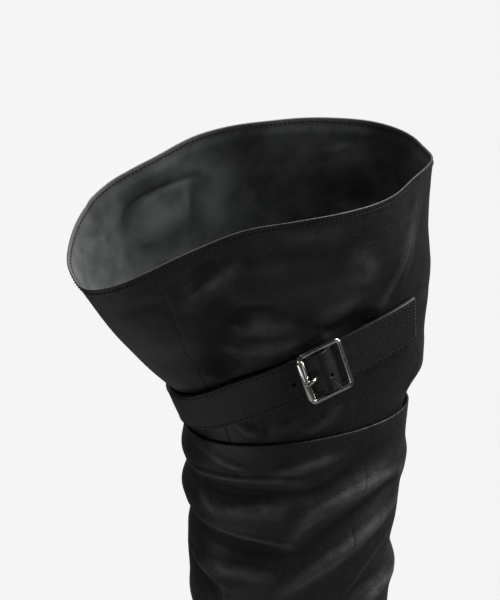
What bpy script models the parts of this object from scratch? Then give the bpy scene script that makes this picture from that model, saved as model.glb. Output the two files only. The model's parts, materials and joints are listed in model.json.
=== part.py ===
"""A left slouch boot: a soft shaft with a flared cuff, cinched by a strap with a square roller buckle.

Metres, +Z up. The toe points along +X and the outer side of the left foot along +Y.
The boot stands on z = 0 on its heel and forefoot, with the middle of its box above the origin.

Every hollow piece is worked out from closed sections. A section is a rounded ring read by a turn
angle: 0 at the front or the ridge of the foot, a quarter turn at the outer side, and half a turn
at the back or the sole.
"""

import math
from collections import namedtuple

import bmesh
import bpy
import numpy as np

MM = 0.001

# Foot and last
FOOT_LENGTH = 246 * MM
BALL_WIDTH = 86 * MM
INSTEP_HEIGHT = 125 * MM
HEEL_HEIGHT = 50 * MM
HEEL_SEAT_RISE = 3 * MM
TOE_SPRING = 9 * MM
TOE_TIP_RISE = 6 * MM
BALL_PLACE = 0.71
HEEL_SEAT_PLACE = 0.19

# Shaft and cuff
SEAM_HEIGHT = 335 * MM
SHAFT_AXIS = 59 * MM
SHAFT_LENGTH = 136 * MM
SHAFT_WIDTH = 94 * MM
SHAFT_SQUARENESS = 2.15
SEAM_SIDE_LIFT = 8 * MM
SIDE_LIFT_START = 0.6
TUCK_DEPTH = 13 * MM
TUCK_TAPER = 1.2 * MM
TUCK_ROOM = 0.9 * MM

# Materials' thickness and the room between pieces
WALL = 2.0 * MM
CUFF_WALL = 2.2 * MM
GAP = 0.3 * MM
SOLE_GAP = 0.4 * MM

# Sole, insole and heel
SOLE_THICKNESS = 5.8 * MM
TREAD_WEAR = 0.8 * MM
FEATHER_RISE = 4.0 * MM
TOE_TUCK = 0.3 * MM
EDGE_ROUNDING = 6
SOLE_MARGIN = 0.8 * MM
INSOLE_RISE = 5.6 * MM
INSOLE_THICKNESS = 3.0 * MM
INSOLE_INSET = 8.5 * MM
HEEL_BREAST = 46 * MM
HEEL_INSET = 0.8 * MM
HEEL_TAPER = 0.10
HEEL_BACK_TAPER = 0.06
HEEL_WAIST = 1.6 * MM
TOP_PIECE_THICKNESS = 6 * MM

# Strap and buckle
STRAP_WIDTH = 27.5 * MM
STRAP_THICKNESS = 2.4 * MM
STRAP_ROOM = 0.8 * MM
STRAP_RADIUS = 72 * MM
STRAP_OUTER_END = math.radians(130.3)
STRAP_INNER_END = math.radians(-140)
STRAP_HUMP = 5.2 * MM
STRAP_HUMP_LENGTH = 6.2 * MM
BUCKLE_TURN = math.radians(81.8)
BUCKLE_LENGTH = 27.3 * MM
BUCKLE_BREADTH = 34 * MM
BUCKLE_CORNER = 2.4 * MM
BUCKLE_WIRE = 1.3 * MM
BUCKLE_STAND_OFF = 5.8 * MM
CENTRE_BAR = 1.0 * MM
CENTRE_BAR_STAND_OFF = 4.0 * MM
ROLLER_RADIUS = 2.5 * MM
ROLLER_BORE = 1.5 * MM
ROLLER_LENGTH = 26 * MM
PRONG_RADIUS = 1.2 * MM
PRONG_ROOM = 0.4 * MM
PRONG_SINK = 0.2 * MM
PRONG_BEND = 3.0 * MM
PRONG_CLIMB = 1.7 * MM
PRONG_REST = 2.2 * MM
STRAP_HOLE_RADIUS = 1.1 * MM
# Each hole's distance along and across the strap from the buckle's middle.
STRAP_HOLES = ((-15.9 * MM, -1.4 * MM), (2.3 * MM, -3.4 * MM))
STRAP_HOLE_DEPTH = 12 * MM

# Fineness of the faceted solids
STEPS_PER_FOOT_ROW = 3
STEPS_PER_SHAFT_ROW = 5
UPPER_SIDES = 26
CUFF_SIDES = 36
CUFF_STEPS_PER_ROW = 3
SOLE_STATIONS = 36
SLAB_LANES = 4
FEATHER_STATIONS = 160
HEEL_RINGS = 6
STRAP_STATIONS = 39
HUMP_STATIONS = 21
HUMP_REACH = 0.34
BAR_SIDES = 10
ROLLER_SIDES = 16
HOLE_SIDES = 8
CORNER_STEPS = 4
DENSE = 80
TINY = 1e-9
SHARP_EDGE = math.radians(40)

# Foot sections, toe to heel. The plane of each meets the sole at a share of the length from the heel,
# and the ridge at another. rise is a share of the instep height above the floor, half and swing are
# shares of the ball width, widest is the share of the section's height where it is widest, crown and
# base are the squareness over the ridge and at the sole, and opening is the share left open beneath.
FootSection = namedtuple("FootSection", "sole ridge rise half swing widest crown base opening")
FOOT_SECTIONS = (
    FootSection(0.988, 0.987, 0.200, 0.118, -0.066, 0.46, 2.1, 2.6, 0.00),
    FootSection(0.951, 0.946, 0.275, 0.222, -0.060, 0.43, 2.2, 3.6, 0.35),
    FootSection(0.888, 0.876, 0.345, 0.325, -0.048, 0.41, 2.2, 4.6, 0.62),
    FootSection(0.800, 0.786, 0.415, 0.430, -0.028, 0.40, 2.1, 5.0, 0.72),
    FootSection(0.710, 0.705, 0.500, 0.488, -0.002, 0.40, 2.0, 5.0, 0.74),
    FootSection(0.600, 0.630, 0.620, 0.462, 0.022, 0.42, 1.95, 4.8, 0.70),
    FootSection(0.470, 0.565, 0.755, 0.412, 0.026, 0.44, 1.95, 4.6, 0.66),
    FootSection(0.330, 0.513, 0.895, 0.398, 0.018, 0.46, 2.0, 4.4, 0.64),
    FootSection(0.175, 0.478, 1.035, 0.414, 0.008, 0.47, 2.05, 4.0, 0.60),
    FootSection(0.040, 0.460, 1.175, 0.430, 0.000, 0.48, 2.1, 3.3, 0.00),
)

# Ankle and shaft sections up to the seam, in millimetres: where each meets the front and back lines,
# and its half width.
ShaftSection = namedtuple("ShaftSection", "front_x front_z back_x back_z half")
SHAFT_SECTIONS = (
    ShaftSection(114.0, 166, -4.0, 77, 38.5),
    ShaftSection(119.0, 189, -1.5, 108, 40.0),
    ShaftSection(123.5, 215, 1.0, 150, 42.0),
    ShaftSection(126.0, 245, 0.0, 200, 44.0),
    ShaftSection(126.5, 278, -3.0, 250, 45.8),
    ShaftSection(127.0, 309, -6.5, 297, 46.8),
    ShaftSection(127.0, 336, -9.0, 331, 47.0),
)

# Slouch folds of the shaft. Each is a soft ridge, or a trough where depth is negative, at a height
# that climbs by climb towards the back, over a span either side of its turn angle in degrees.
Fold = namedtuple("Fold", "height climb turn span depth breadth")
SLOUCH_FOLDS = (
    Fold(320, 0, -10, 80, 2.0, 9),
    Fold(307, 0, 10, 90, -2.8, 7),
    Fold(294, 0, -15, 55, 2.4, 9),
    Fold(297, 0, 52, 36, 2.4, 8),
    Fold(275, 0, -15, 60, -2.6, 8),
    Fold(268, 0, 48, 40, -2.4, 8),
    Fold(259, 0, -28, 42, 2.0, 7),
    Fold(251, 0, 36, 45, 2.4, 8),
    Fold(238, 0, 25, 50, -2.4, 8),
    Fold(308, 24, 100, 45, -2.0, 8),
    Fold(284, 30, 100, 52, 3.0, 8),
    Fold(270, 34, 105, 52, -3.2, 8),
    Fold(252, 38, 105, 58, 3.6, 9),
    Fold(238, 30, 112, 50, -3.0, 8),
    Fold(218, 26, 115, 48, 3.0, 8),
    Fold(297, 0, 165, 45, 2.5, 9),
    Fold(238, 0, 165, 50, -2.5, 12),
    Fold(219, 0, 160, 55, 2.6, 11),
    Fold(300, 10, -100, 70, -3.0, 10),
    Fold(281, 12, -100, 75, 3.0, 11),
    Fold(262, 14, -105, 70, -3.0, 10),
    Fold(241, 14, -110, 70, 3.0, 12),
    Fold(220, 10, -100, 75, -3.2, 11),
    Fold(206, 16, 60, 110, 3.2, 12),
    Fold(185, 8, 20, 130, -4.0, 12),
    Fold(164, -8, 0, 140, 4.4, 13),
    Fold(152, 4, 180, 75, -3.4, 12),
    Fold(126, 0, 180, 80, 3.0, 14),
)

# Cuff rings from inside the shaft to the collar, in millimetres: the height above the seam, the shift
# of the middle towards the toe, the half length and half width, how far the front drops below the
# middle, how far the outer side rises above it, and how far both sides rise above front and back.
CuffRing = namedtuple("CuffRing", "rise lean half_length half_width drop lift sides")
CUFF_RINGS = (
    CuffRing(17, -4.5, 72.0, 46.0, 8.0, 14.0, 1.0),
    CuffRing(41.2, -6.0, 72.5, 46.5, 20.0, 15.0, 2.0),
    CuffRing(55, 0.5, 80.5, 48.5, 17.5, 17.0, 6.0),
    CuffRing(92, 16.0, 94.6, 52.5, 16.5, 8.0, 13.0),
    CuffRing(136, 29.5, 106.5, 56.5, 15.0, -0.5, 21.5),
)
STRAP_RING = 3

# Soft dents and swells of the cuff: a turn angle, its span, a height above the seam and its breadth.
Dent = namedtuple("Dent", "turn span height breadth depth")
CUFF_DENTS = (
    Dent(12, 40, 44, 26, 1.8),
    Dent(38, 34, 58, 30, -4.0),
    Dent(92, 62, 84, 34, -5.5),
    Dent(27, 30, 140, 90, 6.0),
    Dent(68, 32, 150, 100, -8.0),
    Dent(107, 34, 150, 100, 8.0),
    Dent(146, 26, 150, 90, -2.5),
    Dent(-50, 34, 150, 90, 4.0),
    Dent(-90, 20, 150, 70, 4.0),
    Dent(-114, 34, 150, 90, -4.5),
    Dent(-158, 30, 150, 90, 5.0),
)

# Soft rises and droops of the rim: a turn and its span in degrees, and a height in millimetres.
# They fade in from the ring counted by RIM_LIFT_START up to the rim itself.
RimLift = namedtuple("RimLift", "turn span lift")
RIM_LIFT_START = 4
RIM_LIFTS = (
    RimLift(14, 34, -3.0),
    RimLift(50, 18, 1.0),
    RimLift(122, 34, -2.6),
    RimLift(-72, 34, -2.0),
    RimLift(-125, 40, 0.9),
)


def smooth_step(share):
    """A ramp from 0 to 1 with level ends."""
    share = np.clip(share, 0, 1)
    return share * share * (3 - 2 * share)


def spline(rows, places, before=None):
    """Rows of a table read at fractional places, by a Catmull-Rom spline through every row."""
    rows = np.asarray(rows, float)
    first = 2 * rows[0] - rows[1] if before is None else before
    held = np.vstack([first, rows, 2 * rows[-1] - rows[-2]])
    low = np.clip(np.floor(places).astype(int), 0, len(rows) - 2)
    s = (places - low)[:, None]
    a, b, c, d = (held[low + step] for step in range(4))
    return b + 0.5 * s * (c - a + s * (2 * a - 5 * b + 4 * c - d + s * (3 * (b - c) + d - a)))


def signed_power(value, power):
    """A power that keeps the sign, for rounded-square rings."""
    return np.sign(value) * np.abs(value) ** power


def turn_between(turn, centre):
    """The angle from centre to turn, from minus to plus half a turn."""
    return (turn - centre + math.pi) % (2 * math.pi) - math.pi


def window(share):
    """1 at the middle, falling smoothly to 0 at plus and minus 1."""
    return np.where(np.abs(share) < 1, np.cos(np.clip(share, -1, 1) * math.pi / 2) ** 2, 0)


def sole_line(x):
    """The height of the upper's underside: a heel seat, the shank's slope, the ball and the toe spring."""
    ball, seat = BALL_PLACE * FOOT_LENGTH, HEEL_SEAT_PLACE * FOOT_LENGTH
    ball_height = SOLE_THICKNESS - TREAD_WEAR + SOLE_GAP
    shank = smooth_step((ball - x) / (ball - seat))
    spring = np.clip((x - ball) / (FOOT_LENGTH - ball), 0, 2) ** 2
    seat_rise = HEEL_SEAT_RISE * np.clip(1 - x / seat, 0, 2)
    return ball_height + (HEEL_HEIGHT - ball_height) * shank + TOE_SPRING * spring + seat_rise


SECTION_COLUMNS = "front_x front_z back_x back_z half swing widest crown base opening lift"
SectionColumns = namedtuple("SectionColumns", SECTION_COLUMNS)


def section_rows():
    """All rows of the upper, toe to seam, in metres, and the mirrored row that rounds the toe tip."""
    rows = []
    for f in FOOT_SECTIONS:
        back_x = f.sole * FOOT_LENGTH
        ridge = (f.ridge * FOOT_LENGTH, f.rise * INSTEP_HEIGHT)
        sides = (f.half * BALL_WIDTH, f.swing * BALL_WIDTH)
        rows.append((*ridge, back_x, sole_line(back_x), *sides, f.widest, f.crown, f.base, f.opening, 0))
    for s in SHAFT_SECTIONS:
        lines = (s.front_x * MM, s.front_z * MM, s.back_x * MM, s.back_z * MM)
        share = s.back_z * MM / SEAM_HEIGHT
        lift = SEAM_SIDE_LIFT * smooth_step((share - SIDE_LIFT_START) / (1 - SIDE_LIFT_START))
        rows.append((*lines, s.half * MM, 0, 0.5, SHAFT_SQUARENESS, SHAFT_SQUARENESS, 0, lift))
    rows = np.array(rows)
    tip_z = sole_line(FOOT_LENGTH) + TOE_TIP_RISE
    tip = rows[0].copy()
    tip[:5] = (FOOT_LENGTH, tip_z, FOOT_LENGTH, tip_z, 0)
    mirrored = rows[0].copy()
    mirrored[1], mirrored[3], mirrored[4] = rows[0][3], rows[0][1], -rows[0][4]
    return np.vstack([tip, rows]), mirrored


def fold_offset(turn, height):
    """How far the slouch folds push the shaft outwards at a turn angle and a height."""
    total = np.zeros(np.broadcast(turn, height).shape)
    for fold in SLOUCH_FOLDS:
        away = turn_between(turn, math.radians(fold.turn))
        middle = fold.height - fold.climb * np.cos(turn)
        ridge = np.exp(-(((height / MM - middle) / fold.breadth) ** 2))
        total += fold.depth * MM * ridge * window(away / math.radians(fold.span))
    return total


def upper_section(places, turns):
    """Points of the upper: places along its rows, and a grid of turn angles for each place."""
    rows, mirrored = section_rows()
    table = SectionColumns(*(column[:, None] for column in spline(rows, places, mirrored).T))
    on_sole = ((places >= 1) & (places <= len(FOOT_SECTIONS)))[:, None]
    table = table._replace(back_z=np.where(on_sole, sole_line(table.back_x), table.back_z))
    cosine, sine = np.cos(turns), np.sin(turns)
    front = cosine >= 0
    power = 2 / np.where(front, table.crown, table.base)
    reach = np.where(front, 1 - table.widest, table.widest)
    along = table.widest + reach * signed_power(cosine, power)
    x = table.back_x + (table.front_x - table.back_x) * along
    y = table.swing + table.half * signed_power(sine, power)
    z = table.back_z + (table.front_z - table.back_z) * along + table.lift * sine
    out = np.stack([x - SHAFT_AXIS, y], -1)
    out /= np.maximum(np.linalg.norm(out, axis=-1, keepdims=True), MM)
    push = fold_offset(turns, z)[..., None] * out
    return np.stack([x + push[..., 0], y + push[..., 1], z], -1)


def opening_turn(places):
    """The turn angle where the upper stops beneath the foot: half a turn where it is closed."""
    rows, mirrored = section_rows()
    table = SectionColumns(*spline(rows, places, mirrored).T)
    share = np.clip(table.opening, 0, 1)
    return math.pi - np.arcsin(share ** (table.base / 2))


def even_points(points, count):
    """The points of a line spaced again at count + 1 equal lengths."""
    lengths = np.linalg.norm(np.diff(points, axis=0), axis=1)
    run = np.concatenate([[0], np.cumsum(lengths)])
    wanted = np.linspace(0, run[-1], count + 1)
    return np.stack([np.interp(wanted, run, points[:, axis]) for axis in range(3)], -1)


def upper_places():
    """Where the upper's sections are cut, between the rows of its tables."""
    foot = len(FOOT_SECTIONS)
    last = foot + len(SHAFT_SECTIONS)
    shaft = np.linspace(foot, last, (last - foot) * STEPS_PER_SHAFT_ROW + 1)
    return np.concatenate([np.linspace(0, foot, foot * STEPS_PER_FOOT_ROW + 1)[:-1], shaft])


def upper_grid():
    """The upper's outer points, section by section, and which sections are closed underneath."""
    places = upper_places()
    ends = opening_turn(places)
    grid = []
    for place, end in zip(places, ends):
        outer_side, inner_side = (
            upper_section(np.array([place]), np.linspace(0, way * end, DENSE)[None])[0] for way in (1, -1)
        )
        outer_half = even_points(outer_side, UPPER_SIDES // 2)
        inner_half = even_points(inner_side, UPPER_SIDES // 2)
        grid.append(np.vstack([inner_half[::-1], outer_half[1:]]))
    return np.array(grid), ends > math.pi - TINY


def grid_normals(grid, closed):
    """Outward unit normals of a grid of sections, wrapping round where a section is closed."""
    around = np.gradient(grid, axis=1)
    wrapped = grid[:, 1] - grid[:, -2]
    for end in (0, -1):
        around[closed, end] = wrapped[closed] / 2
    normals = np.cross(around, np.gradient(grid, axis=0))
    lengths = np.linalg.norm(normals, axis=-1, keepdims=True)
    return normals / np.maximum(lengths, TINY * TINY)


def add_object(name, vertices, faces, material):
    """A mesh object from points and faces, with repeated corners and flat faces left out."""
    mesh = bpy.data.meshes.new(name)
    clean = []
    for face in faces:
        corners = list(dict.fromkeys(face))
        if len(corners) > 2:
            clean.append(corners)
    mesh.from_pydata([tuple(v) for v in vertices], [], clean)
    work = bmesh.new()
    work.from_mesh(mesh)
    loose = [v for v in work.verts if not v.link_faces]
    bmesh.ops.delete(work, geom=loose, context="VERTS")
    bmesh.ops.recalc_face_normals(work, faces=work.faces)
    work.to_mesh(mesh)
    work.free()
    mesh.shade_smooth()
    mesh.set_sharp_from_angle(angle=SHARP_EDGE)
    mesh.materials.append(material)
    made = bpy.data.objects.new(name, mesh)
    bpy.context.scene.collection.objects.link(made)
    return made


def wall_faces(ids, inner, closed):
    """Faces of a walled tube: outer and inner skins, the slit's two edges and the last section's rim."""
    faces = []
    sections, sides = ids.shape[0] - 1, ids.shape[1] - 1
    for k in range(sections):
        for j in range(sides):
            faces.append((ids[k, j], ids[k, j + 1], ids[k + 1, j + 1], ids[k + 1, j]))
            faces.append((inner[k, j], inner[k + 1, j], inner[k + 1, j + 1], inner[k, j + 1]))
        if not (closed[k] and closed[k + 1]):
            for j in (0, sides):
                faces.append((ids[k, j], ids[k + 1, j], inner[k + 1, j], inner[k, j]))
    for j in range(sides):
        faces.append((ids[-1, j], ids[-1, j + 1], inner[-1, j + 1], inner[-1, j]))
    return faces


def make_upper(material):
    """The foot and slouched shaft as one wall, open at the seam and beneath the foot."""
    grid, closed = upper_grid()
    normals = grid_normals(grid, closed)
    normals[0] = (1, 0, 0)
    inside = grid - WALL * normals
    count = grid.shape[0] * grid.shape[1]
    ids = np.arange(count).reshape(grid.shape[:2])
    ids[closed, -1] = ids[closed, 0]
    ids[0] = ids[0, 0]
    vertices = np.vstack([grid.reshape(-1, 3), inside.reshape(-1, 3)])
    return add_object("upper", vertices, wall_faces(ids, ids + count, closed), material)


def cuff_rows():
    """The cuff's rings in metres: two inside the shaft's edge, then those of the table."""
    inset = WALL + TUCK_ROOM
    half_length, half_width = SHAFT_LENGTH / 2 - inset, SHAFT_WIDTH / 2 - inset
    tucked = (-TUCK_DEPTH, 0, half_length - TUCK_TAPER, half_width - TUCK_TAPER, 0, SEAM_SIDE_LIFT, 0)
    seam = (0, 0, half_length, half_width, 0, SEAM_SIDE_LIFT, 0)
    return np.vstack([tucked, seam, np.array(CUFF_RINGS) * MM])


def cuff_point(places, turns):
    """Points of the cuff's outer face: places along its rings and turn angles, of one shape."""
    rings = spline(cuff_rows(), np.ravel(places))
    rise, lean, half_length, half_width, drop, lift, sides = rings.T.reshape(-1, *np.shape(places))
    power = 2 / SHAFT_SQUARENESS
    cosine, sine = np.cos(turns), np.sin(turns)
    height = rise - drop * cosine + lift * sine + sides * sine**2
    near_rim = smooth_step((places - RIM_LIFT_START) / (len(CUFF_RINGS) + 1 - RIM_LIFT_START))
    for rim in RIM_LIFTS:
        away = turn_between(turns, math.radians(rim.turn)) / math.radians(rim.span)
        height = height + rim.lift * MM * near_rim * window(away)
    push = np.zeros(np.broadcast(places, turns).shape)
    for dent in CUFF_DENTS:
        away = turn_between(turns, math.radians(dent.turn)) / math.radians(dent.span)
        swell = window(away) * window((height / MM - dent.height) / dent.breadth)
        push += dent.depth * MM * swell
    x = SHAFT_AXIS + lean + half_length * signed_power(cosine, power) + push * cosine
    y = half_width * signed_power(sine, power) + push * sine
    return np.stack([x, y, SEAM_HEIGHT + height], -1)


def make_cuff(material):
    """The flared cuff as one wall, tucked into the shaft and open at the collar."""
    count_rings = (len(cuff_rows()) - 1) * CUFF_STEPS_PER_ROW + 1
    places = np.linspace(0, len(cuff_rows()) - 1, count_rings)
    turns = np.linspace(-math.pi, math.pi, CUFF_SIDES + 1)
    grid = cuff_point(*np.meshgrid(places, turns, indexing="ij"))
    closed = np.ones(count_rings, bool)
    inside = grid - CUFF_WALL * grid_normals(grid, closed)
    count = grid.shape[0] * grid.shape[1]
    ids = np.arange(count).reshape(grid.shape[:2])
    ids[:, -1] = ids[:, 0]
    inner = ids + count
    faces = wall_faces(ids, inner, closed)
    faces += [(inner[0, j], inner[0, j + 1], ids[0, j + 1], ids[0, j]) for j in range(CUFF_SIDES)]
    vertices = np.vstack([grid.reshape(-1, 3), inside.reshape(-1, 3)])
    return add_object("cuff", vertices, faces, material)


def strap_frame(turn):
    """The strap's lie on the cuff at a turn angle: its lower and upper edge, its heading and the normal."""
    places = np.linspace(1, len(cuff_rows()) - 2, DENSE)
    column = cuff_point(places, np.full(DENSE, turn))
    run = np.concatenate([[0], np.cumsum(np.linalg.norm(np.diff(column, axis=0), axis=1))])
    middle = np.interp(STRAP_RING, places, run)

    def on_column(distance):
        wanted = middle + distance
        return np.array([np.interp(wanted, run, column[:, axis]) for axis in range(3)])

    either_side = turn + np.array([MM, -MM]) / STRAP_RADIUS
    heading = np.subtract(*cuff_point(np.full(2, STRAP_RING), either_side))
    heading /= np.linalg.norm(heading)
    upright = on_column(STRAP_WIDTH / 2) - on_column(-STRAP_WIDTH / 2)
    upright /= np.linalg.norm(upright)
    reach = STRAP_WIDTH / 2 / math.sqrt(1 - np.dot(heading, upright) ** 2)
    normal = np.cross(heading, upright)
    normal /= np.linalg.norm(normal)
    lower, upper = on_column(-reach), on_column(reach)
    between = column[np.abs(run - middle) < reach]
    bulge = normal * max(np.max((between - lower) @ normal), 0)
    return lower + bulge, upper + bulge, heading, normal


def buckle_axes():
    """The buckle's middle on the cuff and its axes: along the strap, across it, and outwards."""
    lower, upper, heading, normal = strap_frame(BUCKLE_TURN)
    return (lower + upper) / 2, heading, np.cross(normal, heading), normal


def strap_turns():
    """Turn angles of the strap's stations: even, with more where it humps through the buckle."""
    even = np.linspace(STRAP_INNER_END, STRAP_OUTER_END, STRAP_STATIONS)
    near = BUCKLE_TURN + np.linspace(-HUMP_REACH, HUMP_REACH, HUMP_STATIONS)
    far = even[np.abs(even - BUCKLE_TURN) > HUMP_REACH + near[1] - near[0]]
    return np.sort(np.concatenate([far, near]))


def strap_stand_off(edge, turn):
    """How far the strap's inner face stands off the cuff: more where it passes over the centre bar."""
    middle, along, _, _ = buckle_axes()
    away = np.dot(edge - middle, along)
    near = abs(turn - BUCKLE_TURN) < 2 * HUMP_REACH
    return STRAP_ROOM + near * STRAP_HUMP * math.exp(-((away / STRAP_HUMP_LENGTH) ** 2))


def make_strap(material):
    """The strap round the cuff, sewn at both ends, humped over the buckle's centre bar."""
    sections = []
    for turn in strap_turns():
        lower, upper, _, normal = strap_frame(turn)
        low_inner, high_inner = (edge + normal * strap_stand_off(edge, turn) for edge in (lower, upper))
        thick = normal * STRAP_THICKNESS
        sections.append([low_inner, high_inner, high_inner + thick, low_inner + thick])
    strap = stack_rings("strap", sections, material)
    cutters = [add_tube("prong_room", prong_path(), PRONG_RADIUS + PRONG_ROOM, BAR_SIDES, material)]
    for index, (distance, aside) in enumerate(STRAP_HOLES):
        lower, upper, _, out = strap_frame(BUCKLE_TURN + distance / STRAP_RADIUS)
        spot = (lower + upper) / 2 + (upper - lower) * aside / STRAP_WIDTH
        path = np.array([spot, spot + out * STRAP_HOLE_DEPTH])
        cutters.append(add_tube(f"strap_hole_{index}", path, STRAP_HOLE_RADIUS, HOLE_SIDES, material))
    for cutter in cutters:
        cut(strap, cutter, "DIFFERENCE")
    return strap


def cut(target, tool, operation):
    """A live Boolean with a hidden helper object."""
    tool.hide_render = True
    tool.display_type = "WIRE"
    tool.parent = target
    modifier = target.modifiers.new(tool.name, "BOOLEAN")
    modifier.operation = operation
    modifier.object = tool
    modifier.solver = "EXACT"


def add_tube(name, path, radius, sides, material, loop=False):
    """A round bar along a path, with flat ends unless it is a loop."""
    path = np.asarray(path, float)
    ahead = np.roll(path, -1, axis=0) - np.roll(path, 1, axis=0)
    if not loop:
        ahead[0], ahead[-1] = path[1] - path[0], path[-1] - path[-2]
    ahead /= np.linalg.norm(ahead, axis=1, keepdims=True)
    level = np.cross(ahead[0], ahead[len(ahead) // 3])
    if np.linalg.norm(level) < MM:
        level = np.cross(ahead[0], np.roll(ahead[0], 1))
    level /= np.linalg.norm(level)
    side = np.cross(level, ahead)
    side /= np.linalg.norm(side, axis=1, keepdims=True)
    rise = np.cross(ahead, side)
    turns = np.arange(sides) * 2 * math.pi / sides
    ring = np.cos(turns)[None, :, None] * side[:, None] + np.sin(turns)[None, :, None] * rise[:, None]
    stretch = np.ones(len(path))
    if loop:
        bend = np.einsum("ij,ij->i", np.roll(ahead, -1, axis=0), np.roll(ahead, 1, axis=0))
        stretch = 1 / np.sqrt((1 + np.clip(bend, 0, 1)) / 2) ** 0.5
    points = path[:, None] + radius * ring * stretch[:, None, None]
    return stack_rings(name, points, material, loop)


def buckle_point(along, across, out):
    """A point by the buckle's own axes."""
    centre, along_axis, across_axis, normal = buckle_axes()
    return centre + along * along_axis + across * across_axis + out * normal


def buckle_outline():
    """The middle line of the buckle's wire: a square with round corners."""
    half_length = BUCKLE_LENGTH / 2 - BUCKLE_WIRE
    half_breadth = BUCKLE_BREADTH / 2 - BUCKLE_WIRE
    points = []
    for quarter, (a, b) in enumerate(((1, 1), (-1, 1), (-1, -1), (1, -1))):
        for step in range(CORNER_STEPS + 1):
            turn = (quarter + step / CORNER_STEPS) * math.pi / 2
            along = a * (half_length - BUCKLE_CORNER) + BUCKLE_CORNER * math.cos(turn)
            across = b * (half_breadth - BUCKLE_CORNER) + BUCKLE_CORNER * math.sin(turn)
            points.append(buckle_point(along, across, BUCKLE_STAND_OFF))
    return points


def make_buckle_frame(material):
    """The square wire frame with its sunk centre bar."""
    frame = add_tube("buckle_frame", buckle_outline(), BUCKLE_WIRE, BAR_SIDES, material, loop=True)
    reach = BUCKLE_BREADTH / 2 - BUCKLE_WIRE
    ends = [buckle_point(0, side * reach, CENTRE_BAR_STAND_OFF) for side in (-1, 1)]
    bar = add_tube("centre_bar", ends, CENTRE_BAR, BAR_SIDES, material)
    cut(frame, bar, "UNION")
    return frame


def make_buckle_roller(material):
    """The loose sleeve on the bar that the prong rests on."""
    place = -(BUCKLE_LENGTH / 2 - BUCKLE_WIRE)
    ends = [buckle_point(place, side * ROLLER_LENGTH / 2, BUCKLE_STAND_OFF) for side in (-1, 1)]
    beyond = ends[1] - ends[0]
    roller = add_tube("buckle_roller", ends, ROLLER_RADIUS, ROLLER_SIDES, material)
    bore = add_tube("roller_bore", [ends[0] - beyond, ends[1] + beyond], ROLLER_BORE, ROLLER_SIDES, material)
    cut(roller, bore, "DIFFERENCE")
    return roller


def prong_path():
    """From the top of the centre bar, up through the strap, to rest on the roller."""
    over_bar = CENTRE_BAR_STAND_OFF + CENTRE_BAR + PRONG_SINK
    roller_place = -(BUCKLE_LENGTH / 2 - BUCKLE_WIRE)
    over_roller = BUCKLE_STAND_OFF + ROLLER_RADIUS + PRONG_RADIUS + GAP
    root = CENTRE_BAR + PRONG_RADIUS + GAP
    return np.array([
        buckle_point(-root, 0, CENTRE_BAR_STAND_OFF - PRONG_SINK),
        buckle_point(-root - PRONG_BEND, 0, over_bar),
        buckle_point(-root - 2 * PRONG_BEND, 0, over_bar + PRONG_CLIMB),
        buckle_point(roller_place + PRONG_REST, 0, over_roller),
        buckle_point(roller_place - PRONG_REST, 0, over_roller),
    ])


def make_buckle_prong(material):
    """The prong, from beneath the strap to the roller."""
    return add_tube("buckle_prong", prong_path(), PRONG_RADIUS, BAR_SIDES, material)


def feather_line():
    """The outline where the upper meets the sole: points along the outer and the inner side."""
    places = np.linspace(0, len(FOOT_SECTIONS) + 1, FEATHER_STATIONS)[1:-1]
    outlines = []
    for way in (1, -1):
        turns = np.linspace(way * math.pi / 2, way * math.pi, 4 * DENSE)
        found = []
        for place in places:
            points = upper_section(np.array([place]), turns[None])[0]
            above = points[:, 2] - sole_line(points[:, 0]) - FEATHER_RISE
            low = np.flatnonzero(above < 0)
            if len(low):
                found.append(points[max(low[0] - 1, 0)])
        outlines.append(np.array(found))
    return outlines


def sole_outline(grow):
    """Stations along the foot with both edges, the feather line moved outwards by grow."""
    outer, inner = feather_line()
    heel = min(outer[:, 0].min(), inner[:, 0].min()) - grow
    toe = FOOT_LENGTH + grow - TOE_TUCK
    half_turn = np.linspace(0, math.pi, SOLE_STATIONS + 1)
    stations = heel + (toe - heel) * (1 - np.cos(half_turn)) / 2
    margin = grow * np.clip(np.sin(half_turn) * EDGE_ROUNDING, 0, 1)
    edges = []
    for side, way in ((outer, 1), (inner, -1)):
        order = np.argsort(side[:, 0])
        x, y = side[order, 0], side[order, 1]
        x = np.concatenate([[heel + grow], x, [FOOT_LENGTH]])
        y = np.concatenate([[0], y, [side[side[:, 0].argmax(), 1]]])
        middle = (heel + toe) / 2
        shrunk = middle + (stations - middle) * (toe - heel - 2 * grow) / (toe - heel)
        edges.append(np.interp(shrunk, x, y) + way * margin)
    return stations, edges[0], edges[1]


def make_slab(name, stations, outer, inner, top, bottom, material):
    """A closed slab between two edges, with heights top and bottom at each station."""
    lanes = SLAB_LANES
    shares = np.linspace(0, 1, lanes + 1)
    across = outer[:, None] * (1 - shares) + inner[:, None] * shares
    along = np.repeat(stations[:, None], lanes + 1, axis=1)
    skins = [np.stack([along, across, np.repeat(h[:, None], lanes + 1, axis=1)], -1) for h in (top, bottom)]
    count = along.size
    ids = np.arange(count).reshape(along.shape)
    faces = []
    for k in range(len(stations) - 1):
        for c in range(lanes):
            faces.append((ids[k, c], ids[k, c + 1], ids[k + 1, c + 1], ids[k + 1, c]))
            faces.append(tuple(count + i for i in faces[-1])[::-1])
        for c in (0, lanes):
            faces.append((ids[k, c], ids[k + 1, c], count + ids[k + 1, c], count + ids[k, c]))
    for k in (0, -1):
        for c in range(lanes):
            faces.append((ids[k, c], ids[k, c + 1], count + ids[k, c + 1], count + ids[k, c]))
    return add_object(name, np.vstack([skin.reshape(-1, 3) for skin in skins]), faces, material)


def sole_underside(x):
    """The height of the outsole's tread: level under the ball, and following the foot elsewhere."""
    return np.maximum(sole_line(x) - SOLE_GAP - SOLE_THICKNESS, 0)


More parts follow.
